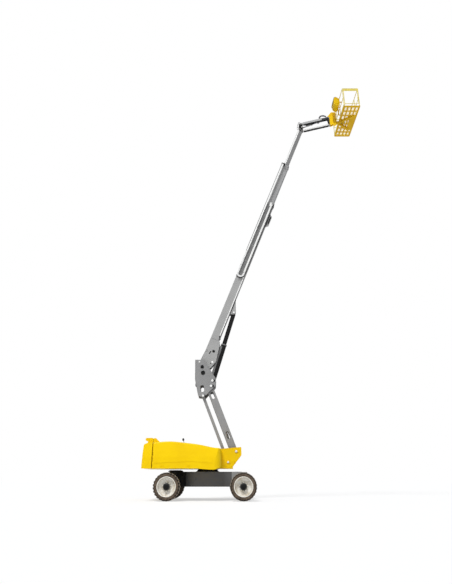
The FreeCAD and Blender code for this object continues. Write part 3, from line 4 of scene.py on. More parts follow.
import bpy
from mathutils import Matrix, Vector

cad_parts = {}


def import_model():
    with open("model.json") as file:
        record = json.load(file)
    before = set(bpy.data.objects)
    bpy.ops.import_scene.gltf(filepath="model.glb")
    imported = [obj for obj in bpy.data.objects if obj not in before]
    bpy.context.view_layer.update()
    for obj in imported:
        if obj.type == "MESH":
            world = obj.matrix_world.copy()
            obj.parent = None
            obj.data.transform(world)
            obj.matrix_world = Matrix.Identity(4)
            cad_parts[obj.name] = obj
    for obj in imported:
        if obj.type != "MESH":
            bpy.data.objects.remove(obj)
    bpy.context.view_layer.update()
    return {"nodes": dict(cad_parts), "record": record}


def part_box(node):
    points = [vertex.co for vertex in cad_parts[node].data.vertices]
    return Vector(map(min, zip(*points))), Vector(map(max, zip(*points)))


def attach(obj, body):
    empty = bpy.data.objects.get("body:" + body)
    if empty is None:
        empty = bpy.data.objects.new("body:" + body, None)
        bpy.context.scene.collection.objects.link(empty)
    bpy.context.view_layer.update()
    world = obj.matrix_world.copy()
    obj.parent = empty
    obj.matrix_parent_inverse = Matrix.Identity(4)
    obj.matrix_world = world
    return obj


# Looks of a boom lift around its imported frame. Lengths are in metres, angles in degrees.
# On a sloping member, "along" runs up it from its joint and "across" is square to it, upwards.

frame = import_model()
JOINTS = {joint["name"]: joint for joint in frame["record"]["behaviour"]["joints"]}

X, Y, Z = Vector((1, 0, 0)), Vector((0, 1, 0)), Vector((0, 0, 1))
SIDES = (-1, 1)
TREAD_DEPTH = 0.030
HUB_PAINT_RADIUS = 0.133
IMAGE_WIDTH, IMAGE_HEIGHT = 452, 584
FOCAL_PIXELS = 485.5
SENSOR = 36.0
CAMERA_PLACE = (-1.75, -20.47, 0.828)
CAMERA_PITCH = 20.89


# ---- places

def joint_place(name):
    return Vector(JOINTS[name]["pos_m"])


def joint_axis(name):
    return Vector(JOINTS[name]["axis"])


def box_of(node):
    low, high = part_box(node)
    return Vector(low), Vector(high)


class Slope:
    """A local frame on a sloping member: along it, across it (upwards) and Y."""

    def __init__(self, origin, direction):
        self.origin = origin
        self.u = direction.normalized()
        self.n = Vector((-self.u.z, 0.0, self.u.x))
        self.axes = (self.u, self.n, Y)

    def at(self, along, across, y):
        return self.origin + self.u * along + self.n * across + Y * y

    def path(self, points, y):
        return [self.at(along, across, y) for along, across in points]


BOOM = Slope(joint_place("boom_lift"), joint_axis("telescope"))
RISER = Slope(joint_place("riser_lift"), joint_place("knuckle_level") - joint_place("riser_lift"))
JIB = Slope(joint_place("jib_lift"), joint_place("basket_level") - joint_place("jib_lift"))
LIFT = Slope(joint_place("lift_cylinder_hinge"), joint_axis("lift_cylinder_slide"))
LINK = Slope(joint_place("riser_link_hinge"), RISER.u)
JIB_LINK = Slope(joint_place("jib_link_hinge"), JIB.u)
RISER_FOOT_X = 1.18
MACHINE_X = RISER_FOOT_X - joint_place("riser_lift").x
SLOT_ANGLE = math.radians(95)
SLOT = Slope(joint_place("knuckle_level") + Vector((-0.359, 0, -0.109)),
             Vector((math.cos(SLOT_ANGLE), 0, math.sin(SLOT_ANGLE))))


def machine(x, y, z):
    """A place given from the machine's middle, at floor level."""
    return Vector((x - MACHINE_X, y, z))


def machine_path(points, y):
    return [machine(x, y, z) for x, z in points]


def machine_grid(across, y, heights):
    return [machine(x, y, z) for x in across for z in heights]


# ---- materials

class Tree:
    """Short-hand for building shader nodes."""

    def __init__(self, owner):
        owner.use_nodes = True
        self.nodes, self.links = owner.node_tree.nodes, owner.node_tree.links

    def new(self, kind, **values):
        node = self.nodes.new("ShaderNode" + kind)
        for key, value in values.items():
            if key in node.inputs:
                node.inputs[key].default_value = value
            else:
                setattr(node, key, value)
        return node

    def feed(self, socket, value):
        """Gives a socket a constant or a link."""
        if isinstance(value, (int, float, tuple)):
            socket.default_value = value
        else:
            self.links.new(value, socket)

    def math(self, operation, a, b=0.0):
        node = self.new("Math", operation=operation)
        for socket, value in zip(node.inputs, (a, b)):
            self.feed(socket, value)
        return node.outputs[0]

    def times(self, a, b):
        return self.math("MULTIPLY", a, b)

    def seen_by(self, *rays):
        """1 for the named kinds of rays, 0 for the others."""
        outputs = self.new("LightPath").outputs
        seen = outputs[rays[0]]
        for ray in rays[1:]:
            seen = self.math("MAXIMUM", seen, outputs[ray])
        return seen

    def show(self, share, first, second, output):
        """Ends a tree with a second shader blended over a first."""
        blend = self.new("MixShader")
        for socket, value in zip(blend.inputs, (share, first.outputs[0], second.outputs[0])):
            self.feed(socket, value)
        self.links.new(blend.outputs[0], self.new(output).inputs["Surface"])


class Graph(Tree):
    """A material built round its principled shader."""

    def __init__(self, name):
        self.material = bpy.data.materials.new(name)
        super().__init__(self.material)
        self.shader = self.nodes["Principled BSDF"]
        self.coords = self.new("TexCoord").outputs["Object"]

    def noise(self, scale, detail=4.0, roughness=0.55):
        node = self.new("TexNoise", Scale=scale, Detail=detail, Roughness=roughness)
        self.links.new(self.coords, node.inputs["Vector"])
        return node.outputs["Fac"]

    def ramp(self, value, low, high, least=0.0, most=1.0):
        node = self.new("MapRange")
        for key, number in (("Value", value), ("From Min", low), ("From Max", high), ("To Min", least),
                            ("To Max", most)):
            self.feed(node.inputs[key], number)
        return node.outputs["Result"]

    def mix(self, factor, a, b):
        node = self.new("Mix", data_type="RGBA")
        for socket, value in zip((node.inputs[0], node.inputs[6], node.inputs[7]), (factor, a, b)):
            self.feed(socket, value)
        return node.outputs[2]

    def mottled(self, a, b, low, high, *noise):
        """Two colours in soft patches of noise."""
        return self.mix(self.ramp(self.noise(*noise), low, high), a, b)

    def axis(self, name):
        node = self.new("SeparateXYZ")
        self.links.new(self.coords, node.inputs[0])
        return node.outputs[name]

    def along(self, direction):
        """Distance along a direction in the XZ plane."""
        return self.math("ADD", self.times(self.axis("X"), direction.x),
                         self.times(self.axis("Z"), direction.z))

    def level(self, direction, origin):
        """Distance from an origin along a direction in the XZ plane."""
        return self.math("SUBTRACT", self.along(direction), origin.dot(direction))

    def from_axis(self, centre):
        """Distance from the line along Y through a centre."""
        dx = self.math("SUBTRACT", self.axis("X"), centre.x)
        dz = self.math("SUBTRACT", self.axis("Z"), centre.z)
        return self.math("SQRT", self.math("ADD", self.times(dx, dx), self.times(dz, dz)))

    def inside(self, value, low, high):
        return self.times(self.math("GREATER_THAN", value, low), self.math("LESS_THAN", value, high))

    def bump(self, height, strength, distance):
        node = self.new("Bump", Strength=strength, Distance=distance)
        self.links.new(height, node.inputs["Height"])
        self.links.new(node.outputs["Normal"], self.shader.inputs["Normal"])

    def finish(self, colour, roughness, metallic=0.0, coat=0.0, specular=0.25):
        for key, value in (("Base Color", colour), ("Roughness", roughness), ("Metallic", metallic),
                           ("Specular IOR Level", specular), ("Coat Weight", coat)):
            self.feed(self.shader.inputs[key], value)
        return self.material


def rgb(red, green, blue):
    """A colour given as screen values from 0 to 255, in scene-linear form."""
    def linear(value):
        value /= 255.0
        return value / 12.92 if value <= 0.04045 else ((value + 0.055) / 1.055) ** 2.4
    return linear(red), linear(green), linear(blue), 1.0


def grey(level):
    return rgb(level, level, level)


def sprayed(g, tone, dust, least, most, metallic=0.0, coat=0.05, specular=0.25):
    """Ends a graph as sprayed paint: specks of dust, fine orange peel and a gloss that varies a little."""
    specks = g.ramp(g.noise(38.0, 6.0, 0.7), 0.56, 0.78, 0.0, dust)
    tone = g.mix(specks, tone, rgb(128, 120, 104))
    g.bump(g.noise(160.0, 2.0), 0.12, 0.0008)
    return g.finish(tone, g.ramp(g.noise(9.0), 0.3, 0.7, least, most), metallic, coat, specular)


def paint(name, colour, shade, roughness=0.38, metallic=0.0, coat=0.05, dust=0.12, specular=0.25):
    """Sprayed paint with faint broad variation."""
    g = Graph(name)
    return sprayed(g, g.mottled(colour, shade, 0.35, 0.7, 1.3), dust, roughness - 0.05, roughness + 0.08,
                   metallic, coat, specular)


def matt(name, colour, shade, roughness, dust, specular):
    return paint(name, colour, shade, roughness, 0.0, 0.0, dust, specular)


def rubbery(g, tone):
    g.bump(g.noise(120.0, 6.0, 0.7), 0.35, 0.002)
    return g.finish(tone, g.ramp(g.noise(25.0), 0.3, 0.7, 0.72, 0.92), specular=0.15)


def tyre_rubber(name, centre, tread_radius):
    """Dusty side walls, painted shade in the gaps between the lugs and paler worn faces on the lugs' outer
    ends.
    """
    g = Graph(name)
    distance, foot = g.from_axis(centre), tread_radius - TREAD_DEPTH
    wall = g.mottled(rgb(74, 64, 55), rgb(112, 98, 84), 0.38, 0.68, 6.0, 8.0, 0.7)
    tread = g.mottled(rgb(120, 110, 100), rgb(152, 142, 130), 0.38, 0.68, 9.0, 8.0, 0.7)
    # painted shade: a dark band just under the tread's foot, for the shade in the gaps between the lugs
    wall = g.mix(g.ramp(distance, foot - 0.030, foot - 0.004), wall, rgb(36, 32, 29))
    return rubbery(g, g.mix(g.ramp(distance, foot + 0.006, foot + 0.014), wall, tread))


def rubber(name, colour, dusty):
    """Rubber with dry dust in patches."""
    g = Graph(name)
    return rubbery(g, g.mottled(colour, dusty, 0.38, 0.68, 6.0, 8.0, 0.7))


def rim_paint(name, centre, hub_radius):
    """Pale rim paint that turns to black paint on the hub, by distance from the wheel's axis; its tan patches
    and darker flecks are partly dirt and partly painted shade.
    """
    g = Graph(name)
    outside = g.ramp(g.from_axis(centre), hub_radius, hub_radius + 0.004)
    # tan patches and darker flecks: partly dirt, partly painted shade that darkens the rim towards the look
    # of its shaded dish
    pale = g.mottled(rgb(230, 227, 219), rgb(186, 170, 140), 0.42, 0.72, 5.0, 6.0, 0.65)
    dirt_and_shade = g.ramp(g.noise(22.0, 8.0, 0.75), 0.50, 0.78, 0.0, 0.55)
    pale = g.mix(dirt_and_shade, pale, rgb(146, 122, 88))
    black = g.mottled(rgb(24, 24, 25), rgb(52, 50, 47), 0.4, 0.7, 30.0)
    g.bump(g.noise(140.0, 3.0), 0.15, 0.0008)
    return g.finish(g.mix(outside, black, pale), 0.42, coat=0.15)


def ribbed(name, colour, gap, slope, pitch, share):
    """Chain plastic with a dark joint line at every link along a sloping member."""
    g = Graph(name)
    step = g.math("FRACT", g.math("DIVIDE", g.along(slope.u), pitch))
    line = g.math("LESS_THAN", step, share)
    body = g.mottled(colour, gap, 0.35, 0.7, 14.0)
    g.bump(line, 0.6, 0.004)
    return g.finish(g.mix(g.times(line, 0.85), body, gap), 0.55)


def banded(name, slope, base, shade, bands):
    """Paint with bands (low, high, start, end, colour), given across the member and then along it."""
    g = Graph(name)
    tone = g.mottled(base, shade, 0.35, 0.7, 1.3)
    across, along = g.level(slope.n, slope.origin), g.level(slope.u, slope.origin)
    for low, high, start, end, colour in bands:
        tone = g.mix(g.times(g.inside(across, low, high), g.inside(along, start, end)), tone, colour)
    return sprayed(g, tone, 0.1, 0.37, 0.50, coat=0.2)


def mount_paint(name, dark, bright):
    """Dark paint round the lower jib end, bright paint towards the rotator."""
    g = Graph(name)
    joint = joint_place("basket_level")
    low = g.math("LESS_THAN", g.axis("Z"), joint.z + 0.06)
    left = g.math("LESS_THAN", g.axis("X"), joint.x + 0.035)
    return sprayed(g, g.mix(g.times(low, left), bright, dark), 0.08, 0.4, 0.5)


def frame_paint(name, level, start, end):
    """Grey frame paint, black above a level, and painted shade that darkens it to black towards the steer
    axle.
    """
    g = Graph(name)
    bright, black = rgb(92, 92, 93), rgb(28, 28, 29)
    tone = g.mix(g.ramp(g.axis("Z"), level - 0.004, level + 0.004), bright, black)
    # painted shade: the frame darkens to black towards the steer axle
    tone = g.mix(g.ramp(g.axis("X"), start, end), black, tone)
    tone = g.mix(g.ramp(g.noise(30.0, 6.0, 0.7), 0.5, 0.8, 0.0, 0.3), tone, rgb(120, 112, 96))
    g.bump(g.noise(150.0, 2.0), 0.15, 0.0008)
    return g.finish(tone, g.ramp(g.noise(9.0), 0.3, 0.7, 0.4, 0.55), specular=0.15)


def steel(name, colour, roughness=0.28):
    g = Graph(name)
    tone = g.mottled(colour, rgb(120, 120, 122), 0.3, 0.75, 18.0, 5.0)
    g.bump(g.noise(200.0, 2.0), 0.1, 0.0005)
    return g.finish(tone, g.ramp(g.noise(60.0), 0.3, 0.7, roughness, roughness + 0.15), 0.85)


CHAIN_PITCH = 0.075
WHOLE_BOOM = (0.0, 20.0)
WHOLE_JIB = (-1.0, 3.0)
FRAME_TOP = 1.036
# where the painted shade on the frame begins and ends
SHADE_START, SHADE_END = -0.80, -0.42

YELLOW = matt("yellow_paint", rgb(245, 206, 0), rgb(238, 196, 0), 0.36, 0.03, 0.12)
CONSOLE_YELLOW = matt("console_yellow", rgb(240, 200, 6), rgb(206, 162, 8), 0.4, 0.10, 0.12)
RAIL_YELLOW = matt("rail_yellow", rgb(232, 216, 112), rgb(220, 202, 96), 0.45, 0.04, 0.15)
OCHRE = matt("floor_ochre", rgb(214, 172, 26), rgb(194, 152, 18), 0.5, 0.08, 0.12)
GREY = matt("grey_paint", grey(150), grey(140), 0.45, 0.12, 0.15)
FRAME_GREY = paint("frame_grey", rgb(84, 84, 85), rgb(72, 72, 73), 0.5, dust=0.15)
BLACK = matt("black_paint", rgb(30, 30, 31), rgb(22, 22, 23), 0.5, 0.08, 0.1)
DULL_BLACK = matt("dull_black", rgb(26, 26, 27), grey(20), 0.65, 0.06, 0.08)
OLIVE = matt("dark_olive", rgb(78, 72, 22), rgb(60, 56, 20), 0.6, 0.12, 0.25)
HOSE = rubber("hose_rubber", rgb(28, 28, 29), rgb(48, 47, 46))
STEEL = steel("bright_steel", rgb(214, 214, 216))
ZINC = steel("zinc_steel", rgb(176, 174, 168), 0.42)
CHAIN = ribbed("chain_plastic", rgb(246, 246, 244), grey(214), BOOM, CHAIN_PITCH, 0.2)
CHAIN_WHITE = paint("chain_link_white", rgb(246, 246, 244), rgb(230, 230, 228), 0.5, dust=0.05)
COVER_WHITE = paint("cover_white", rgb(250, 250, 248), rgb(238, 238, 236), 0.4, dust=0.04)
# painted highlight: pin heads are painted near white, for the bright lit side of the pins
PIN_HIGHLIGHT = paint("pin_pale_painted_highlight", rgb(244, 244, 242), rgb(220, 220, 218), 0.3, 0.1, dust=0.06)
PANEL_GREY = paint("panel_grey", grey(158), grey(140), 0.45, dust=0.15)
LIGHT_GREY = paint("light_grey_paint", rgb(196, 196, 195), rgb(182, 182, 181), 0.4)
RIM_EDGE = paint("rim_edge", rgb(248, 246, 240), rgb(230, 226, 214), 0.35, dust=0.15)
LIFT_PIPE = paint("lift_pipe_grey", grey(128), grey(108), 0.4, dust=0.1)
HOSE_GREY = rubber("worn_hose", rgb(92, 92, 98), rgb(134, 132, 134))
MESH_YELLOW = matt("mesh_yellow", rgb(250, 230, 150), rgb(238, 212, 120), 0.5, 0.05, 0.15)
REFLECTOR = paint("reflector_red", rgb(150, 20, 14), rgb(120, 14, 10), 0.15, coat=0.8)
LAMP = paint("lamp_dark", rgb(36, 30, 26), rgb(24, 20, 18), 0.15, coat=0.5)
# painted shade: a dark band along the base section's lower edge, for its shaded underside
BOOM_BASE = banded("boom_base_paint", BOOM, rgb(168, 168, 167), rgb(158, 158, 157),
                   [(-0.245, -0.196, 1.36, 9.0, rgb(40, 40, 42))])
# painted shade: a darker band along the mid section's lower edge, for its shaded underside
BOOM_MID = banded("boom_mid_paint", BOOM, grey(160), grey(150),
                  [(-0.30, -0.180, *WHOLE_BOOM, rgb(112, 112, 114))])
# the lowest band is painted shade along the carrier's lower edge
STRIP = banded("chain_strip_paint", BOOM, grey(118), grey(108),
               [(0.095, 0.20, *WHOLE_BOOM, grey(150)), (-0.17, -0.09, *WHOLE_BOOM, rgb(240, 240, 238)),
                (-0.30, -0.17, *WHOLE_BOOM, rgb(60, 60, 62))])
# painted highlight and painted shade: a white band with a darker band beyond it, for the light and dark
# reflections on the fly section's upper bevel
FLY = banded("fly_paint", BOOM, grey(128), grey(118),
             [(0.002, 0.056, *WHOLE_BOOM, rgb(246, 246, 244)),
              (0.056, 0.20, *WHOLE_BOOM, rgb(110, 110, 112))])
CHAIN_COVER = banded("chain_cover_paint", BOOM, grey(136), grey(128),
                     [(0.040, 0.145, *WHOLE_BOOM, rgb(250, 250, 248))])
# painted shade: the first band paints the arm's lower part black, for the shade in its open underside
ARM = banded("jib_arm_paint", JIB, grey(186), grey(170),
             [(-0.30, -0.028, *WHOLE_JIB, rgb(30, 30, 32)), (-0.30, 0.10, 1.18, 3.0, rgb(40, 40, 44))])
LINK_PAINT = banded("jib_link_paint", JIB_LINK, rgb(240, 240, 238), rgb(226, 226, 224),
                    [(-0.2, -0.020, *WHOLE_JIB, rgb(34, 34, 36)), (0.018, 0.2, *WHOLE_JIB, rgb(40, 40, 42))])
MOUNT = mount_paint("mount_split", rgb(30, 30, 36), rgb(248, 204, 0))
FRAME = frame_paint("frame_split", FRAME_TOP, SHADE_START - MACHINE_X, SHADE_END - MACHINE_X)

NODE_MATERIALS = {name: material for material, names in (
    (FRAME, "chassis_frame"), (ZINC, "tie_rod"), (DULL_BLACK, "axle_cover engine_block tanks"),
    (BLACK, "steer_axle drive_axle steer_knuckle_near steer_knuckle_far jib_head"),
    (BLACK, "lift_cylinder_barrel lift_cylinder_rod"), (LAMP, "beacon"),
    (YELLOW, "turret_frame counterweight hood_near hood_far"),
    (GREY, "riser_arm riser_link knuckle jib_cylinder_barrel"), (LIGHT_GREY, "riser_cylinder_barrel"),
    (STEEL, "riser_cylinder_rod jib_cylinder_rod"), (BOOM_BASE, "boom_base"), (BOOM_MID, "boom_mid"),
    (FLY, "boom_fly"), (STRIP, "chain_carrier"), (CHAIN, "chain_loop"), (CHAIN_COVER, "chain_leg"),
    (ARM, "jib_arm"), (LINK_PAINT, "jib_link"), (MOUNT, "basket_mount"), (OCHRE, "basket_floor"),
    (RAIL_YELLOW, "basket_rails gate"), (CONSOLE_YELLOW, "console"),
) for name in names.split()}


def dress_nodes():
    for name, node in frame["nodes"].items():
        low, high = box_of(name)
        if name.startswith("tyre"):
            material = tyre_rubber("tyre_rubber_" + name, (low + high) / 2, (high.z - low.z) / 2)
        elif name.startswith("rim"):
            material = rim_paint("rim_paint_" + name, (low + high) / 2, HUB_PAINT_RADIUS)
        else:
            material = NODE_MATERIALS[name]
        node.data.materials.clear()
        node.data.materials.append(material)


# ---- mesh helpers

ROUND_STEPS = 40
SHARP_ANGLE = math.radians(35.0)


def new_object(name, data):
    thing = bpy.data.objects.new(name, data)
    bpy.context.scene.collection.objects.link(thing)
    return thing


def side_axes(direction):
    direction = direction.normalized()
    helper = X if abs(direction.x) < 0.8 else Y
    first = direction.cross(helper).normalized()
    return first, direction.cross(first).normalized()


def circle(first, second, count, turn=0.0):
    """Spokes of a wheel in the plane of two axes."""
    angles = [2 * math.pi * (k + turn) / count for k in range(count)]
    return [first * math.cos(angle) + second * math.sin(angle) for angle in angles]


def around(centre, axis, radius, count, turn=0.0):
    """Places on a circle about an axis."""
    return [centre + spoke * radius for spoke in circle(*side_axes(axis), count, turn)]


class Mesh:
    """Collects vertices and faces of one piece."""

    def __init__(self):
        self.verts, self.faces = [], []

    def loft(self, rings):
        """Skins rings of equally many points and closes both ends."""
        count, start = len(rings[0]), len(self.verts)
        for ring in rings:
            self.verts.extend(tuple(point) for point in ring)
        for i in range(len(rings) - 1):
            for k in range(count):
                a, b = start + i * count + k, start + i * count + (k + 1) % count
                self.faces.append((a, b, b + count, a + count))
        self.faces.append(tuple(start + k for k in reversed(range(count))))
        self.faces.append(tuple(start + (len(rings) - 1) * count + k for k in range(count)))

    def turned(self, origin, direction, outline, sides=20):
        """Lathe form: outline is a list of (height along the direction, radius)."""
        spokes = circle(*side_axes(direction), sides)
        direction = direction.normalized()
        self.loft([[origin + direction * height + spoke * radius for spoke in spokes]
                   for height, radius in outline])

    def rod(self, start, end, radius, sides=16):
        length, bevel = (end - start).length, radius * 0.12
        self.turned(start, end - start, [(0, radius - bevel), (bevel, radius), (length - bevel, radius),
                                         (length, radius - bevel)], sides)

    def close_round(self, start, sides):
        """Skins sections of equally many points that stand in a full circle."""
        steps = (len(self.verts) - start) // sides
        for i in range(steps):
            a, b = start + i * sides, start + (i + 1) % steps * sides
            for k in range(sides):
                n = (k + 1) % sides
                self.faces.append((a + k, b + k, b + n, a + n))

    def ring(self, centre, axis, major, minor, sides=8):
        """Round ring about an axis."""
        start, spokes = len(self.verts), circle(*side_axes(axis), ROUND_STEPS)
        axis = axis.normalized()
        turns = [2 * math.pi * k / sides for k in range(sides)]
        self.verts += [tuple(centre + spoke * (major + minor * math.cos(turn))
                             + axis * (minor * math.sin(turn))) for spoke in spokes for turn in turns]
        self.close_round(start, sides)

    def tube(self, origin, direction, length, inner, outer):
        """Short open tube with flat ends."""
        start, spokes = len(self.verts), circle(*side_axes(direction), ROUND_STEPS)
        direction = direction.normalized()
        section = ((0, inner), (0, outer), (length, outer), (length, inner))
        self.verts += [tuple(origin + direction * height + spoke * radius)
                       for spoke in spokes for height, radius in section]
        self.close_round(start, len(section))

    def bolt(self, place, direction, size):
        """Hexagon head on a washer."""
        self.turned(place, direction, [(0, size * 1.35), (size * 0.28, size * 1.35)], 16)
        self.turned(place, direction,
                    [(size * 0.26, size), (size * 0.9, size), (size * 1.05, size * 0.82)], 6)

    def bolts(self, places, direction, size):
        for place in places:
            self.bolt(place, direction, size)

    def hose(self, points, radius, sides=10, steps=6):
        """Round hose along a smooth curve through points."""
        path = smooth(points, steps)
        rings, normal = [], None
        for i, point in enumerate(path):
            ahead = path[min(i + 1, len(path) - 1)] - path[max(i - 1, 0)]
            ahead.normalize()
            if normal is None:
                normal = side_axes(ahead)[0]
            normal = (normal - ahead * normal.dot(ahead)).normalized()
            rings.append([point + spoke * radius for spoke in circle(normal, ahead.cross(normal), sides)])
        self.loft(rings)

    def block(self, centre, half, axes=(X, Y, Z), bevel=0.004):
        """Box with chamfered edges; half is its half size along each axis."""
        hx, hy, hz = half
        bevel = min(bevel, hx * 0.4, hy * 0.4, hz * 0.4)

        def ring(z, inset):
            points = []
            for sx, sy in ((1, 1), (-1, 1), (-1, -1), (1, -1)):
                a = (sx * (hx - inset), sy * (hy - inset - bevel))
                b = (sx * (hx - inset - bevel), sy * (hy - inset))
                pair = (a, b) if sx * sy > 0 else (b, a)
                points += [centre + axes[0] * x + axes[1] * y + axes[2] * z for x, y in pair]
            return points
        self.loft([ring(-hz, bevel), ring(-hz + bevel, 0), ring(hz - bevel, 0), ring(hz, bevel)])

    def bar(self, slope, start, end, across, y, half_across, half_y, bevel=0.004):
        """Straight bar along a sloping member."""
        self.block(slope.at((start + end) / 2, across, y), ((end - start) / 2, half_across, half_y),
                   slope.axes, bevel)

    def piece(self, name, body, slot, material):
        """Makes one object of the faces, smooth but for its sharp edges, and has it ride on a body."""
        data = bpy.data.meshes.new(name)
        data.from_pydata(self.verts, [], self.faces)
        data.validate()
        data.materials.append(material)
        for polygon in data.polygons:
            polygon.use_smooth = True
        data.set_sharp_from_angle(angle=SHARP_ANGLE)
        thing = new_object(name, data)
        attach(thing, body)


def meshes(count):
    return [Mesh() for _ in range(count)]


def smooth(points, steps):
    """Catmull-Rom curve through points."""
    path = []
    for i in range(len(points) - 1):
        a, b = points[max(i - 1, 0)], points[i]
        c, d = points[i + 1], points[min(i + 2, len(points) - 1)]
        for k in range(steps):
            t = k / steps
            path.append(0.5 * ((2 * b) + (c - a) * t + (2 * a - 5 * b + 4 * c - d) * t * t
                               + (3 * b - a - 3 * c + d) * t ** 3))
    return path + [points[-1]]


# ---- wheels and chassis

WHEELS = ("wheel_steer_near", "wheel_steer_far", "wheel_drive_near", "wheel_drive_far")
HUB_FACE = 0.160


def dress_wheel(body):
    hub = joint_place(body)
    out = Vector((0, 1.0 if hub.y > 0 else -1.0, 0))
    nuts, cap, bead, valve = meshes(4)
    nut = [(0, 0.019), (0.006, 0.019), (0.007, 0.013), (0.026, 0.013), (0.030, 0.009)]
    for place in around(hub + out * 0.040, out, 0.156, 10, 0.5):
        nuts.turned(place, out, nut, 6)
    nuts.piece(body + "_nuts", body, "steel", ZINC)
    face = hub + out * HUB_FACE
    cap.turned(face, out, [(-0.004, 0.092), (0.004, 0.092), (0.008, 0.086), (0.010, 0.060), (0.020, 0.054),
                           (0.024, 0.044), (0.024, 0.012)], 32)
    cap.bolts(around(face + out * 0.008, out, 0.073, 8), out, 0.007)
    cap.rod(face + out * 0.022, face + out * 0.032, 0.010, 8)
    cap.piece(body + "_hub_cap", body, "black_paint", BLACK)
    bead.ring(hub + out * 0.160, out, 0.346, 0.0135)
    bead.ring(hub + out * 0.146, out, 0.329, 0.007)
    bead.piece(body + "_rim_bead", body, "rim_cream", RIM_EDGE)
    stem = [(-0.006, 0.012), (0.008, 0.012), (0.010, 0.006), (0.045, 0.005), (0.047, 0.008), (0.060, 0.007)]
    valve.turned(hub + out * 0.066 + Vector((0.2, 0, 0.18)), out, stem, 12)
    valve.piece(body + "_valve", body, "steel", ZINC)


def dress_chassis():
    plates, ends, skirt, lines, seams, cover, axles = meshes(7)
    for side in SIDES:
        out = Y * side
        plates.block(machine(-0.94, side * 0.4545, 0.775), (0.185, 0.006, 0.250), bevel=0.003)
        for x in (-1.10, -0.94, -0.78):
            plates.block(machine(x, side * 0.468, 0.775), (0.012, 0.016, 0.245), bevel=0.003)
        plates.bolts(machine_grid((-1.04, -0.99, -0.89, -0.83), side * 0.460, (0.745, 0.985)), out, 0.012)
        ends.block(machine(1.30, side * 0.4535, 0.845), (0.30, 0.005, 0.175), bevel=0.003)
        ends.bolts(machine_grid((1.03, 1.30, 1.57), side * 0.458, (0.69, 1.0)), out, 0.010)
        for k, drop in enumerate((0.0, 0.05, 0.10)):
            y = side * (0.475 + 0.022 * k)
            lines.hose([machine(-0.80 - 0.03 * k, side * 0.462, 0.94), machine(-0.84, y, 0.90),
                        machine(-1.00, y, 0.80 - drop), machine(-1.18, y, 0.78 - drop),
                        machine(-1.34, side * 0.47, 0.70)], 0.011)
        for front, z in (((-0.66, -0.5), 1.016), ((-0.62, -0.4), 0.506)):
            seams.hose([machine(x, side * 0.4515, z) for x in (*front, 0.3, 0.95)], 0.004, 6, 4)
        seams.block(machine(-0.38, side * 0.4525, 0.77), (0.028, 0.004, 0.05), bevel=0.002)
        seams.bolts(machine_grid((-0.38,), side * 0.456, (0.735, 0.805)), out, 0.007)
    plates.piece("axle_support_plates", "chassis", "black_paint", DULL_BLACK)
    ends.piece("drive_end_panels", "chassis", "chassis_grey", PANEL_GREY)
    centre = machine(0.055, 0, 0)
    skirt.turned(centre, Z, [(1.088, 0.375), (1.088, 0.397), (1.104, 0.400), (1.112, 0.396),
                                  (1.112, 0.375)], 64)
    for spoke in circle(*side_axes(Z), 28):
        skirt.bolt(centre + Z * 1.052 + spoke * 0.392, spoke, 0.010)
    skirt.piece("slew_bearing_skirt", "chassis", "black_paint", BLACK)
    lines.piece("axle_hoses", "chassis", "black_paint", HOSE)
    seams.piece("frame_seams", "chassis", "chassis_grey", FRAME_GREY)
    for x in (-1.36, -1.02):
        cover.bolts([machine(x, y, 1.079) for y in (-0.36, -0.12, 0.12, 0.36)], Z, 0.012)
    cover.block(machine(-1.18, 0, 1.083), (0.10, 0.30, 0.006))
    cover.piece("axle_cover_bolts", "chassis", "black_paint", BLACK)
    for x in (-1.43, 1.43):
        for side in SIDES:
            for place in around(machine(x, side * 0.47, 0.5), Y, 0.082, 8):
                axles.rod(place, place + Y * side * 0.02, 0.011, 8)
    axles.piece("axle_flange_bolts", "chassis", "steel", ZINC)


# ---- turret

HOOD_FACE = 1.140


def hood_latch(mesh, x, z, side):
    """Paddle latch in a shallow frame on a hood's lower band."""
    y = side * HOOD_FACE
    for dx, dz, hx, hz in ((0, 0.030, 0.062, 0.005), (0, -0.030, 0.062, 0.005),
                           (0.058, 0, 0.005, 0.030), (-0.058, 0, 0.005, 0.030)):
        mesh.block(machine(x + dx, y + side * 0.002, z + dz), (hx, 0.004, hz), bevel=0.002)
    mesh.block(machine(x, y + side * 0.003, z), (0.046, 0.004, 0.020), bevel=0.003)
    mesh.turned(machine(x - 0.03, y + side * 0.006, z), Y * side,
                [(0, 0.009), (0.004, 0.009), (0.005, 0.007)], 16)


def dress_hoods():
    for side, body in zip(SIDES, ("hood_near", "hood_far")):
        latches, seal = meshes(2)
        for x in (-1.62, -0.62):
            hood_latch(latches, x, 1.235, side)
        latches.piece(body + "_latches", body, "yellow_paint", YELLOW)
        profile = ((1.131, 1.15), (1.131, 1.33), (1.112, 1.56), (1.082, 1.74), (1.035, 1.93))
        seal.hose([machine(-1.985, side * y, z) for y, z in profile], 0.008, 8, 4)
        seal.piece(body + "_seal", body, "black_paint", DULL_BLACK)
    fairing, vents = meshes(2)
    outline = ((-1.983, 2.060), (-1.983, 2.096), (-2.027, 2.100), (-2.027, 2.240), (-1.990, 2.256),
               (-1.945, 2.250), (-1.880, 2.190), (-1.780, 2.100), (-1.780, 2.060))
    fairing.loft([machine_path(outline, -0.75 + dy) for dy in (-0.058, 0.058)])
    fairing.piece("hood_near_fairing", "hood_near", "yellow_paint", YELLOW)
    slat_axes = (X, Vector((0, 0.9, -0.43)), Vector((0, 0.43, 0.9)))
    for i in range(9):
        z = 1.375 + 0.019 * i
        y = 1.150 - 0.020 * (z - 1.33) / 0.23
        vents.block(machine(-1.35, y + 0.001, z), (0.30, 0.005, 0.0055), slat_axes, 0.002)
    vents.piece("engine_vent_slats", "hood_far", "black_paint", DULL_BLACK)


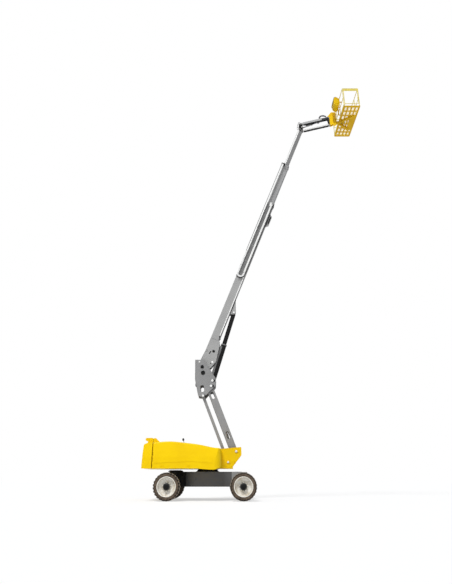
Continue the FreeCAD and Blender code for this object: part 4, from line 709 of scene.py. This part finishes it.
def pin_head(caps, plates, place, side, radius, keeper):
    """Pale pin head with a keeper plate beside it; the pale paint is a painted highlight for the head's lit
    side, and a black keeper is a painted shadow beside it.
    """
    out = Y * side
    caps.turned(place, out, [(-0.006, radius), (0.010, radius), (0.015, radius * 0.82),
                             (0.015, radius * 0.25), (0.010, radius * 0.2), (0.010, radius * 0.05)], 24)
    plates.block(place + keeper + out * 0.002, (radius * 0.55, 0.005, radius * 0.95), bevel=0.003)
    for dz in (-0.6, 0.6):
        plates.bolt(place + keeper + out * 0.006 + Z * radius * dz, out, 0.008)


def dress_turret():
    caps, plates, rings, edge = meshes(4)
    for side in SIDES:
        for x, z, radius in ((1.18, 1.78, 0.046), (0.86, 1.38, 0.040)):
            keeper = X * (radius * 1.9) - Y * side * 0.010
            pin_head(caps, plates, machine(x, side * 0.414, z), side, radius, keeper)
            rings.ring(machine(x, side * 0.401, z), Y, radius * 1.32, 0.006)
        rings.ring(machine(1.13, side * 0.401, 1.38), Y, 0.036, 0.005)
        for points in (((0.60, 1.155), (1.02, 1.228), (1.365, 1.65)),
                       ((0.52, 1.845), (0.64, 1.875), (1.37, 1.935))):
            edge.hose(machine_path(points, side * 0.3995), 0.005, 6, 5)
    caps.piece("riser_pin_heads", "turret", "steel", PIN_HIGHLIGHT)
    plates.piece("riser_pin_keepers", "turret", "yellow_paint", YELLOW)
    rings.piece("riser_pin_welds", "turret", "yellow_paint", YELLOW)
    edge.piece("cheek_edge_beads", "turret", "yellow_paint", YELLOW)
    tail, lamps, deck, stalk = meshes(4)
    for y in (-0.78, -0.45, 0.45, 0.78):
        for z in (1.26, 1.60):
            x = -2.42 + 0.06 * (z - 1.135) / 0.865
            tail.turned(machine(x + 0.004, y, z), -X, [(0, 0.034), (0.010, 0.034), (0.014, 0.028)], 24)
            tail.bolt(machine(x - 0.008, y, z), -X, 0.018)
    tail.piece("tail_bolts", "turret", "black_paint", BLACK)
    for y in (-0.93, 0.93):
        lamps.block(machine(-2.398, y, 1.32), (0.010, 0.028, 0.055), bevel=0.006)
    lamps.piece("tail_reflectors", "turret", "beacon_black", REFLECTOR)
    for side in SIDES:
        for x in (-1.7, -1.2, -0.7, -0.2, 0.25):
            deck.bolt(machine(x, side * 0.372, 1.995 if x < -0.3 else 1.80), Y * -side, 0.010)
    for side, y, z in ((1, 0.23, 1.26), (-1, 0.24, 1.27)):
        deck.hose([machine(0.3, side * 0.22, 1.235), machine(0.5, side * y, z),
                   machine(0.75, side * 0.22, 1.24), machine(0.98, side * 0.2, 1.25),
                   machine(1.03, side * 0.18, 1.215)], 0.014)
    deck.piece("turret_hoses", "turret", "black_paint", HOSE)
    low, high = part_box("beacon")
    stalk.ring(Vector((low[0] + 0.047, (low[1] + high[1]) / 2, high[2] - 0.085)), Z, 0.046, 0.004)
    stalk.piece("beacon_band", "hood_far", "beacon_black", DULL_BLACK)


# ---- riser and knuckle

RISER_LENGTH = 2.774
RISER_FACE = 0.2755
LINK_FACE = 0.2105
KNUCKLE_FACE = 0.316
KNUCKLE_PINS = ((0.210, 4.580, 0.050), (0.159, 4.359, 0.050), (-0.161, 3.959, 0.044))


def oval_path(slope, along, across, length, width, y, count=9):
    """Closed path of a long hole's edge on a sloping member."""
    half, radius = length / 2 - width / 2, width / 2
    path = []
    for end in (1, -1):
        for k in range(count):
            angle = math.radians(-90 + 180 * k / (count - 1)) + (0 if end > 0 else math.pi)
            path.append(slope.at(along + end * half + radius * math.cos(angle),
                                 across + radius * math.sin(angle), y))
    return path + [path[0]]


def dress_riser():
    rims, link = meshes(2)
    for side in SIDES:
        out, y = Y * side, side * RISER_FACE
        for along in (0.702, 2.394):
            rims.hose(oval_path(RISER, along, 0.0725, 0.305, 0.135, y), 0.005, 6, 2)
        for along in (0.0, RISER_LENGTH):
            rims.ring(RISER.at(along, 0, side * 0.276), Y, 0.092, 0.006)
            link.ring(LINK.at(along, 0, side * LINK_FACE), Y, 0.046, 0.005)
        for start, end, across in ((0.20, 2.62, 0.196), (0.02, 2.78, -0.052)):
            rims.hose([RISER.at(s, across, y) for s in (start, 1.0, 1.9, end)], 0.004, 6, 4)
        for along in (0.5, 1.4, 2.3):
            link.block(LINK.at(along, 0, side * 0.211), (0.035, 0.022, 0.002), LINK.axes, 0.002)
            link.bolts([LINK.at(along + step, 0, side * 0.213) for step in (-0.022, 0.022)], out, 0.006)
    rims.piece("riser_arm_beads", "riser_arm", "grey_paint", GREY)
    link.piece("riser_link_details", "riser_link", "grey_paint", GREY)


def dress_knuckle():
    caps, plates, black, beads, lines = meshes(5)
    for side in SIDES:
        out, y = Y * side, side * (KNUCKLE_FACE + 0.012)
        for x, z, radius in KNUCKLE_PINS:
            keeper = X * (radius * 1.75) - Y * side * 0.010
            pin_head(caps, plates, machine(x, y, z), side, radius, keeper)
        caps.turned(machine(-0.338, side * KNUCKLE_FACE, 5.370), out,
                    [(0, 0.036), (0.010, 0.036), (0.016, 0.028), (0.016, 0.01)], 20)
        black.turned(machine(-0.22, y, 5.16), out,
                     [(-0.004, 0.070), (0.004, 0.070), (0.010, 0.060), (0.010, 0.02)], 32)
        black.bolts(around(machine(-0.22, y + side * 0.008, 5.16), Y, 0.043, 4, 0.5), out, 0.008)
        black.turned(machine(-0.18, side * (KNUCKLE_FACE + 0.006), 4.910), out,
                     [(-0.002, 0.089), (0.006, 0.089), (0.010, 0.080), (0.006, 0.066), (0.006, 0.02)], 36)
        beads.hose(oval_path(SLOT, 0, 0, 0.296, 0.156, side * (KNUCKLE_FACE + 0.0005)), 0.006, 6, 2)
        for points in (((-0.49, 5.40), (-0.47, 4.66), (-0.33, 3.99)),
                       ((-0.12, 5.40), (0.12, 5.03), (0.325, 4.67))):
            beads.hose(machine_path(points, side * (KNUCKLE_FACE + 0.001)), 0.005, 6, 4)
        # painted shade: a black strip along the lower right edge of each cheek plate, for the shade on the
        # plate's underside
        black.block(machine(0.128, side * (KNUCKLE_FACE - 0.012), 4.142), (0.30, 0.017, 0.007),
                    (Vector((0.690, 0, 0.724)), Y, Vector((-0.724, 0, 0.690))), 0.003)
    caps.piece("knuckle_pin_heads", "knuckle", "steel", PIN_HIGHLIGHT)
    # painted shadow: the black plates beside the knuckle's pin heads stand for the shadow beside each head
    plates.piece("knuckle_pin_shadow_plates", "knuckle", "black_paint", BLACK)
    black.piece("knuckle_plugs_and_edge_shade", "knuckle", "black_paint", BLACK)
    beads.piece("knuckle_beads", "knuckle", "grey_paint", GREY)
    for k in range(4):
        y = -0.18 + 0.12 * k
        lines.hose([machine(-0.485, y, 4.40), machine(-0.470, y, 4.55), machine(-0.430, y, 4.66),
                    machine(-0.380, y * 0.9, 4.68), machine(-0.335, y * 0.8, 4.62),
                    machine(-0.320, y * 0.8, 4.50)], 0.014)
    lines.piece("knuckle_hoses", "knuckle", "black_paint", HOSE)


# ---- boom

def dress_boom():
    white, black, beads, caps, pads = meshes(5)
    lift, plate, mid = meshes(3)
    diagonal = (BOOM.u * 0.985 - BOOM.n * 0.17).normalized()
    slanting = (diagonal, Vector((-diagonal.z, 0, diagonal.x)), Y)
    for side in SIDES:
        out, y = Y * side, side * 0.190
        white.bar(BOOM, 1.56, 8.36 if side > 0 else 4.53, -0.188, side * 0.1785, 0.020, 0.008)
        white.bolts([BOOM.at(s, -0.188, side * 0.1865) for s in (1.75, 2.35, 3.0, 3.65, 4.3)], out, 0.007)
        black.turned(BOOM.at(0.82, -0.186, y), out,
                     [(-0.002, 0.060), (0.004, 0.060), (0.006, 0.052), (0.003, 0.040), (0.003, 0.01)], 28)
        black.block(BOOM.at(0.715, -0.065, y + side * 0.001), (0.070, 0.020, 0.003), slanting, 0.002)
        black.rod(BOOM.at(1.51, -0.205, side * 0.165), BOOM.at(1.51, -0.205, side * 0.215), 0.032, 18)
        caps.turned(BOOM.at(0.357, -0.311, y), out,
                    [(-0.002, 0.052), (0.008, 0.052), (0.014, 0.042), (0.014, 0.012)], 24)
        black.block(BOOM.at(0.315, -0.268, y + side * 0.002), (0.045, 0.014, 0.004), BOOM.axes, 0.002)
        edge = ((0.0, 0.075), (0.34, 0.175), (0.70, 0.140), (1.30, 0.140))
        beads.hose(BOOM.path(edge, y + side * 0.0005), 0.005, 6, 4)
        beads.block(BOOM.at(0.746, 0.085, y + side * 0.001), (0.045, 0.030, 0.003), BOOM.axes, 0.002)
        beads.hose([BOOM.at(1.325, n, y - side * 0.004) for n in (-0.20, -0.05, 0.12)], 0.008, 6, 3)
        pads.bolts([BOOM.at(s, n, side * 0.184) for n in (-0.19, -0.13, 0.05, 0.11) for s in (8.545, 8.585)],
                   out, 0.009)
        place = BOOM.at(2.79, -0.367, side * 0.122)
        lift.turned(place, out, [(-0.004, 0.044), (0.010, 0.044), (0.016, 0.036), (0.016, 0.012)], 24)
        plate.ring(place - Y * side * 0.001, Y, 0.064, 0.005)
        mid.bolts([BOOM.at(10.885, n, side * 0.1475) for n in (-0.165, -0.10, 0.02, 0.06)], out, 0.008)
    for y in (-0.11, 0.11):
        for n, way in ((0.169, 1), (-0.239, -1)):
            pads.bolt(BOOM.at(8.565, n, y), BOOM.n * way, 0.010)
    white.piece("boom_pipe_covers", "boom_base", "grey_paint", COVER_WHITE)
    black.piece("boom_foot_plugs", "boom_base", "black_paint", BLACK)
    caps.piece("boom_foot_pin_heads", "boom_base", "steel", PIN_HIGHLIGHT)
    beads.piece("boom_foot_beads", "boom_base", "grey_paint", GREY)
    pads.piece("boom_base_pad_bolts", "boom_base", "steel", ZINC)
    lift.piece("lift_eye_pin_heads", "boom_base", "steel", PIN_HIGHLIGHT)
    plate.piece("lift_eye_welds", "boom_base", "grey_paint", GREY)
    mid.piece("boom_mid_pad_bolts", "boom_mid", "steel", ZINC)


CHAIN_BEND_ALONG, CHAIN_BEND_RADIUS = 4.6, 0.182


def dress_chain():
    face = box_of("chain_carrier")[0].y
    links = Mesh()
    for k in range(49):
        s = 4.76 + CHAIN_PITCH * k
        links.bar(BOOM, s, s + 0.052, -0.132, face - 0.0005, 0.036, 0.0035, 0.002)
    links.piece("chain_fixed_links", "boom_base", "chain_plastic", CHAIN_WHITE)
    clips, notch, stops_and_bend_shadow, bracket, anchor = meshes(5)
    for s in (5.3, 6.15, 7.0, 7.85):
        clips.bar(BOOM, s - 0.02, s + 0.02, 0.0, -0.199, 0.070, 0.0025, 0.002)
        clips.bolts([BOOM.at(s, n, -0.2015) for n in (-0.045, 0.045)], -Y, 0.008)
    clips.piece("chain_strip_clips", "boom_base", "grey_paint", GREY)
    notch.bar(BOOM, 7.06, 7.16, 0.087, box_of("chain_leg")[0].y - 0.002, 0.012, 0.005)
    notch.piece("chain_leg_clip", "boom_mid", "black_paint", BLACK)
    bend = [math.radians(angle) for angle in range(160, 251, 15)]
    # painted shadow: a black arc under the chain's bend; the bars below are the chain stops
    stops_and_bend_shadow.hose([BOOM.at(CHAIN_BEND_ALONG + CHAIN_BEND_RADIUS * math.cos(turn),
                        CHAIN_BEND_RADIUS * math.sin(turn), -0.198) for turn in bend], 0.018, 8, 4)
    for y in (-0.062, 0.062):
        stops_and_bend_shadow.bar(BOOM, 7.55, 7.92, -0.300, y, 0.028, 0.004)
    stops_and_bend_shadow.piece("chain_stops_and_bend_shadow", "boom_base", "black_paint", BLACK)
    bracket.bar(BOOM, 10.88, 10.925, 0.09, -0.24, 0.095, 0.035)
    bracket.bar(BOOM, 10.84, 10.92, 0.035, -0.215, 0.028, 0.055)
    bracket.bolt(BOOM.at(10.88, 0.035, -0.270), -Y, 0.010)
    bracket.piece("chain_head_bracket", "boom_mid", "black_paint", BLACK)
    anchor.bar(BOOM, 8.40, 8.60, -0.080, -0.232, 0.040, 0.006)
    anchor.bolts(BOOM.path(((8.56, -0.065), (8.45, -0.095)), -0.238), -Y, 0.013)
    anchor.piece("chain_anchor", "boom_base", "grey_paint", COVER_WHITE)


def dress_lift():
    pipes, bands = meshes(2)
    for side in SIDES:
        pipes.bar(LIFT, 0.30, 1.46, 0.124, side * 0.072, 0.018, 0.022, 0.008)
        pipes.bar(LIFT, 0.24, 1.56, 0.088, side * 0.106, 0.040, 0.008, 0.004)
        pipes.bolts([LIFT.at(s, 0.088, side * 0.114) for s in (0.34, 0.75, 1.15, 1.48)], Y * side, 0.008)
    pipes.block(LIFT.at(1.50, 0.120, 0), (0.055, 0.024, 0.075), LIFT.axes, 0.006)
    pipes.block(LIFT.at(0.20, 0.126, 0), (0.070, 0.022, 0.080), LIFT.axes, 0.006)
    for y in (-0.05, 0.05):
        pipes.bolt(LIFT.at(0.20, 0.148, y), LIFT.n, 0.010)
        pipes.bolt(LIFT.at(1.50, 0.144, y), LIFT.n, 0.009)
    pipes.tube(LIFT.at(1.640, 0, 0), LIFT.u, 0.046, 0.1205, 0.1245)
    pipes.piece("lift_cylinder_pipes", "lift_cylinder_barrel", "grey_paint", LIFT_PIPE)
    for s in (0.55, 0.95, 1.35):
        bands.tube(LIFT.at(s - 0.014, 0, 0), LIFT.u, 0.028, 0.1128, 0.1165)
    bands.bolts(around(LIFT.at(1.692, 0, 0), LIFT.u, 0.107, 8), LIFT.u, 0.007)
    bands.piece("lift_cylinder_bands", "lift_cylinder_barrel", "black_paint", BLACK)


# ---- jib and basket

JIB_FACE = 0.056
HEAD_FACE = 0.086


def jib_pins(name, body, joints):
    """Pin heads on both cheeks of the jib's head or of the basket's mount."""
    pins = Mesh()
    for side in SIDES:
        for place in map(joint_place, joints):
            pins.turned(Vector((place.x, side * HEAD_FACE, place.z)), Y * side,
                        [(-0.004, 0.028), (0.006, 0.028), (0.009, 0.021), (0.009, 0.006)], 18)
    pins.piece(name, body, "steel", ZINC)


def dress_jib():
    jib_pins("jib_head_pins", "jib_head",
             ("jib_head_level", "jib_lift", "jib_cylinder_hinge", "jib_link_hinge"))
    guard, lines, tray, guards, under, loop = meshes(6)
    eye, barrel = meshes(2)
    foot, end = joint_place("jib_lift"), joint_place("basket_level")
    hoop = ((-0.040, -0.26), (-0.150, -0.19), (-0.115, 0.02), (-0.060, 0.115), (0.015, 0.075), (0.050, 0.030))
    for y in (-0.072, 0.072):
        guard.hose([foot + Vector((dx, y, dz)) for dx, dz in hoop], 0.0085, 8, 5)
    guard.rod(foot + Vector((-0.060, -0.074, 0.115)), foot + Vector((-0.060, 0.074, 0.115)), 0.008, 8)
    guard.piece("jib_head_guard", "jib_head", "grey_paint", FRAME_GREY)
    for y in (-0.030, -0.010, 0.010, 0.030):
        for points in (((0.10, 0.074), (0.16, 0.080), (0.22, 0.080)),
                       ((1.18, 0.080), (1.30, 0.080), (1.42, 0.074))):
            lines.hose(JIB.path(points, y), 0.0095)
    lines.piece("jib_hoses", "jib_arm", "black_paint", HOSE)
    tray.bar(JIB, 0.20, 1.20, 0.082, 0.0, 0.017, 0.050, 0.005)
    tray.bolts([JIB.at(s, 0.099, y) for s in (0.30, 0.70, 1.10) for y in (-0.038, 0.038)], JIB.n, 0.006)
    tray.piece("jib_hose_tray", "jib_arm", "grey_paint", LIGHT_GREY)
    for side in SIDES:
        guards.bar(JIB, 0.30, 1.04, -0.076, side * 0.051, 0.017, 0.0045, 0.002)
        eye.ring(Vector((end.x, side * JIB_FACE, end.z)), Y, 0.030, 0.004)
        eye.hose([JIB.at(s, -0.0625, side * (JIB_FACE + 0.001)) for s in (0.30, 0.8, 1.2, 1.5)], 0.004, 6, 4)
    guards.piece("jib_edge_guards", "jib_arm", "black_paint", BLACK)
    run = ((0.10, -0.036), (0.2, -0.044), (0.8, -0.044), (1.35, -0.044), (1.46, -0.036))
    for y in (-0.040, -0.014, 0.014, 0.040):
        under.hose(JIB_LINK.path(run, y), 0.0135)
    for s in (0.35, 0.78, 1.2):
        under.block(JIB_LINK.at(s, -0.046, 0), (0.014, 0.054, 0.017), (JIB_LINK.u, Y, JIB_LINK.n), 0.004)
    under.piece("jib_link_hoses", "jib_link", "black_paint", HOSE)
    arch = ((-0.500, -0.060), (-0.490, 0.060), (-0.410, 0.165), (-0.270, 0.195), (-0.150, 0.155),
            (-0.105, 0.080), (-0.115, 0.020))
    for y, swell in ((-0.027, 1.0), (0.0, 0.95), (0.027, 0.90)):
        loop.hose([end + Vector((dx * swell, y, dz * swell)) for dx, dz in arch], 0.0125)
    loop.piece("jib_end_hose_loops", "jib_arm", "black_paint", HOSE_GREY)
    eye.piece("jib_arm_beads", "jib_arm", "black_paint", BLACK)
    jib_pins("basket_mount_pins", "basket_mount", ("basket_level",))
    start, axis = joint_place("jib_cylinder_hinge"), joint_axis("jib_cylinder_slide")
    barrel.tube(start + axis * 0.56, axis, 0.05, 0.0302, 0.034)
    barrel.tube(start + axis * 0.10, axis, 0.03, 0.0281, 0.033)
    barrel.piece("jib_cylinder_bands", "jib_cylinder_barrel", "black_paint", BLACK)


def dress_basket():
    rails_low, rails_high = box_of("basket_rails")
    floor = rails_low.z
    x0, x1, y0, y1 = rails_low.x, rails_high.x, rails_low.y, rails_high.y
    xm, ym, dx, dy = (x0 + x1) / 2, (y0 + y1) / 2, x1 - x0, y1 - y0
    mesh, boards, shoes, knobs, pedal, edge = meshes(6)
    face, collar, nuts, latch = meshes(4)
    z = floor - 0.030
    for k in range(1, 20):
        x = x0 + dx * k / 20
        mesh.block(Vector((x, ym, z)), (0.0015, dy / 2 - 0.03, 0.006), bevel=0.0006)
    for k in range(1, 54):
        y = y0 + dy * k / 54
        mesh.block(Vector((xm, y, z)), (dx / 2 - 0.03, 0.0015, 0.006), bevel=0.0006)
    mesh.piece("basket_floor_mesh", "basket", "basket_yellow", MESH_YELLOW)
    for x in (x0 + 0.006, x1 - 0.006):
        boards.block(Vector((x, ym, floor + 0.052)), (0.0025, dy / 2 - 0.05, 0.050), bevel=0.002)
    boards.block(Vector((xm, y1 - 0.006, floor + 0.052)), (dx / 2 - 0.05, 0.0025, 0.050), bevel=0.002)
    boards.piece("basket_toe_boards", "basket", "basket_yellow", RAIL_YELLOW)
    inset = 0.021
    for x in (x0 + inset, x1 - inset):
        for y in (y0 + inset, y0 + inset + dy / 3, y0 + inset + dy * 2 / 3 - 0.02, y1 - inset):
            shoes.block(Vector((x, y, floor + 0.004)), (0.032, 0.032, 0.004), bevel=0.002)
            for step in (0.022, -0.022):
                shoes.bolt(Vector((x + step, y + step, floor + 0.008)), Z, 0.006)
    for side, x in zip(SIDES, (x0, x1)):
        shoes.bolts([Vector((x, y0 + dy * (k + 0.5) / 6, floor - 0.025)) for k in range(6)],
                    X * side, 0.007)
    shoes.piece("basket_post_shoes", "basket", "basket_yellow", RAIL_YELLOW)
    place = joint_place("basket_rotate")
    base = floor - 0.05
    lever = [(0, 0.022), (0.004, 0.022), (0.012, 0.010), (0.018, 0.006), (0.060, 0.006), (0.066, 0.013),
             (0.082, 0.014), (0.090, 0.008)]
    for k in range(3):
        knobs.turned(Vector((place.x + 0.02, -0.78 + 0.14 * k, base + 0.800)), Z, lever, 16)
    knobs.piece("platform_control_levers", "basket", "black_paint", BLACK)
    pedal.block(Vector((x0 + 0.22, 0.1, floor + 0.012)), (0.11, 0.08, 0.010))
    pedal.block(Vector((x0 + 0.24, 0.1, floor + 0.040)), (0.08, 0.05, 0.006),
                (Vector((0.97, 0, 0.24)), Y, Vector((-0.24, 0, 0.97))), 0.003)
    pedal.piece("basket_foot_switch", "basket", "black_paint", DULL_BLACK)
    outline = ((0.203, 0.585), (0.160, 0.80), (0.128, 0.832), (0.050, 0.847))
    points = [Vector((place.x - back - 0.004, 0, base + up + 0.004)) for back, up in outline]
    for a, b in zip(points, points[1:]):
        way = (b - a).normalized()
        out = Vector((-way.z, 0, way.x))
        edge.block((a + b) / 2 + Y * -0.635 + out * 0.004, ((b - a).length / 2 + 0.006, 0.232, 0.008),
                   (way, Y, out), 0.004)
    edge.piece("console_edge_guard", "basket", "black_paint", OLIVE)
    for side, y in zip(SIDES, (-0.877, -0.393)):
        x, z = place.x - 0.04, base + 0.575
        face.block(Vector((x, y, z)), (0.085, 0.008, 0.15), bevel=0.012)
        face.bolts([Vector((x + step, y + side * 0.008, z + rise))
                    for rise in (-0.12, 0.12) for step in (-0.06, 0.06)], Y * side, 0.008)
    face.piece("console_side_covers", "basket", "yellow_paint", CONSOLE_YELLOW)
    for rise in (0.03, 0.30, 0.59):
        collar.tube(Vector((place.x, 0, box_of("basket_floor")[0].z + rise)), Z, 0.03, 0.0862, 0.094)
    collar.piece("rotator_bands", "basket", "yellow_paint", YELLOW)
    nuts.turned(Vector((place.x, 0, box_of("basket_mount")[1].z - 0.006)), Z,
                [(0, 0.034), (0.006, 0.034), (0.007, 0.026), (0.018, 0.026)], 6)
    nuts.piece("rotator_nut", "basket_mount", "steel", ZINC)
    low, high = box_of("gate")
    latch.block(Vector((high.x - 0.015, (low.y + high.y) / 2, low.z + 0.42)), (0.020, 0.014, 0.045))
    handle = ((0.004, 0.38), (0.018, 0.40), (0.018, 0.46), (0.004, 0.48))
    latch.hose([Vector((high.x - 0.05, low.y - out, low.z + up)) for out, up in handle], 0.005, 8, 5)
    latch.piece("gate_latch", "gate", "basket_yellow", RAIL_YELLOW)


# ---- stage, light and camera

def stage():
    data = bpy.data.meshes.new("floor")
    size = 80.0
    corners = [(-size, -size, 0), (size, -size, 0), (size, size, 0), (-size, size, 0)]
    data.from_pydata(corners, [], [(0, 1, 2, 3)])
    floor = new_object("floor", data)
    material = bpy.data.materials.new("floor_white")
    tree = Tree(material)
    tree.nodes.clear()
    share = tree.times(tree.seen_by("Is Camera Ray", "Is Glossy Ray"), 0.44)
    tree.show(share, tree.new("BsdfDiffuse", Color=(0.86, 0.86, 0.86, 1)),
              tree.new("Emission", Color=(1, 1, 1, 1), Strength=1.13), "OutputMaterial")
    data.materials.append(material)


def world():
    scene = bpy.context.scene
    scene.world = bpy.data.worlds.new("studio")
    tree = Tree(scene.world)
    tree.nodes.clear()
    tree.show(tree.seen_by("Is Transmission Ray", "Is Glossy Ray", "Is Camera Ray"),
              tree.new("Background", Color=(0.95, 0.97, 1.0, 1), Strength=0.36),
              tree.new("Background", Color=(1, 1, 1, 1), Strength=1.0), "OutputWorld")
    scene.view_settings.view_transform = "Standard"


def sun(name, energy, spread, direction):
    """Soft parallel light that shines along a direction."""
    data = bpy.data.lights.new(name, "SUN")
    data.energy = energy
    data.angle = math.radians(spread)
    new_object(name, data).rotation_euler = Vector(direction).to_track_quat("-Z", "Y").to_euler()


def camera():
    data = bpy.data.cameras.new("camera")
    data.sensor_fit = "AUTO"
    data.sensor_width = SENSOR
    data.lens = FOCAL_PIXELS * SENSOR / max(IMAGE_WIDTH, IMAGE_HEIGHT)
    data.clip_end = 300.0
    thing = new_object("camera", data)
    thing.location = CAMERA_PLACE
    thing.rotation_euler = (math.radians(90.0 + CAMERA_PITCH), 0.0, 0.0)
    bpy.context.scene.camera = thing


# ---- the scene

dress_nodes()
for wheel in WHEELS:
    dress_wheel(wheel)
for dress in (dress_chassis, dress_hoods, dress_turret, dress_riser, dress_knuckle, dress_boom, dress_chain,
              dress_lift, dress_jib, dress_basket):
    dress()
stage()
world()
sun("key", 2.5, 18.0, (0.25, 0.54, -1.0))
sun("fill", 0.25, 60.0, (-0.3, 1.0, -0.10))
camera()
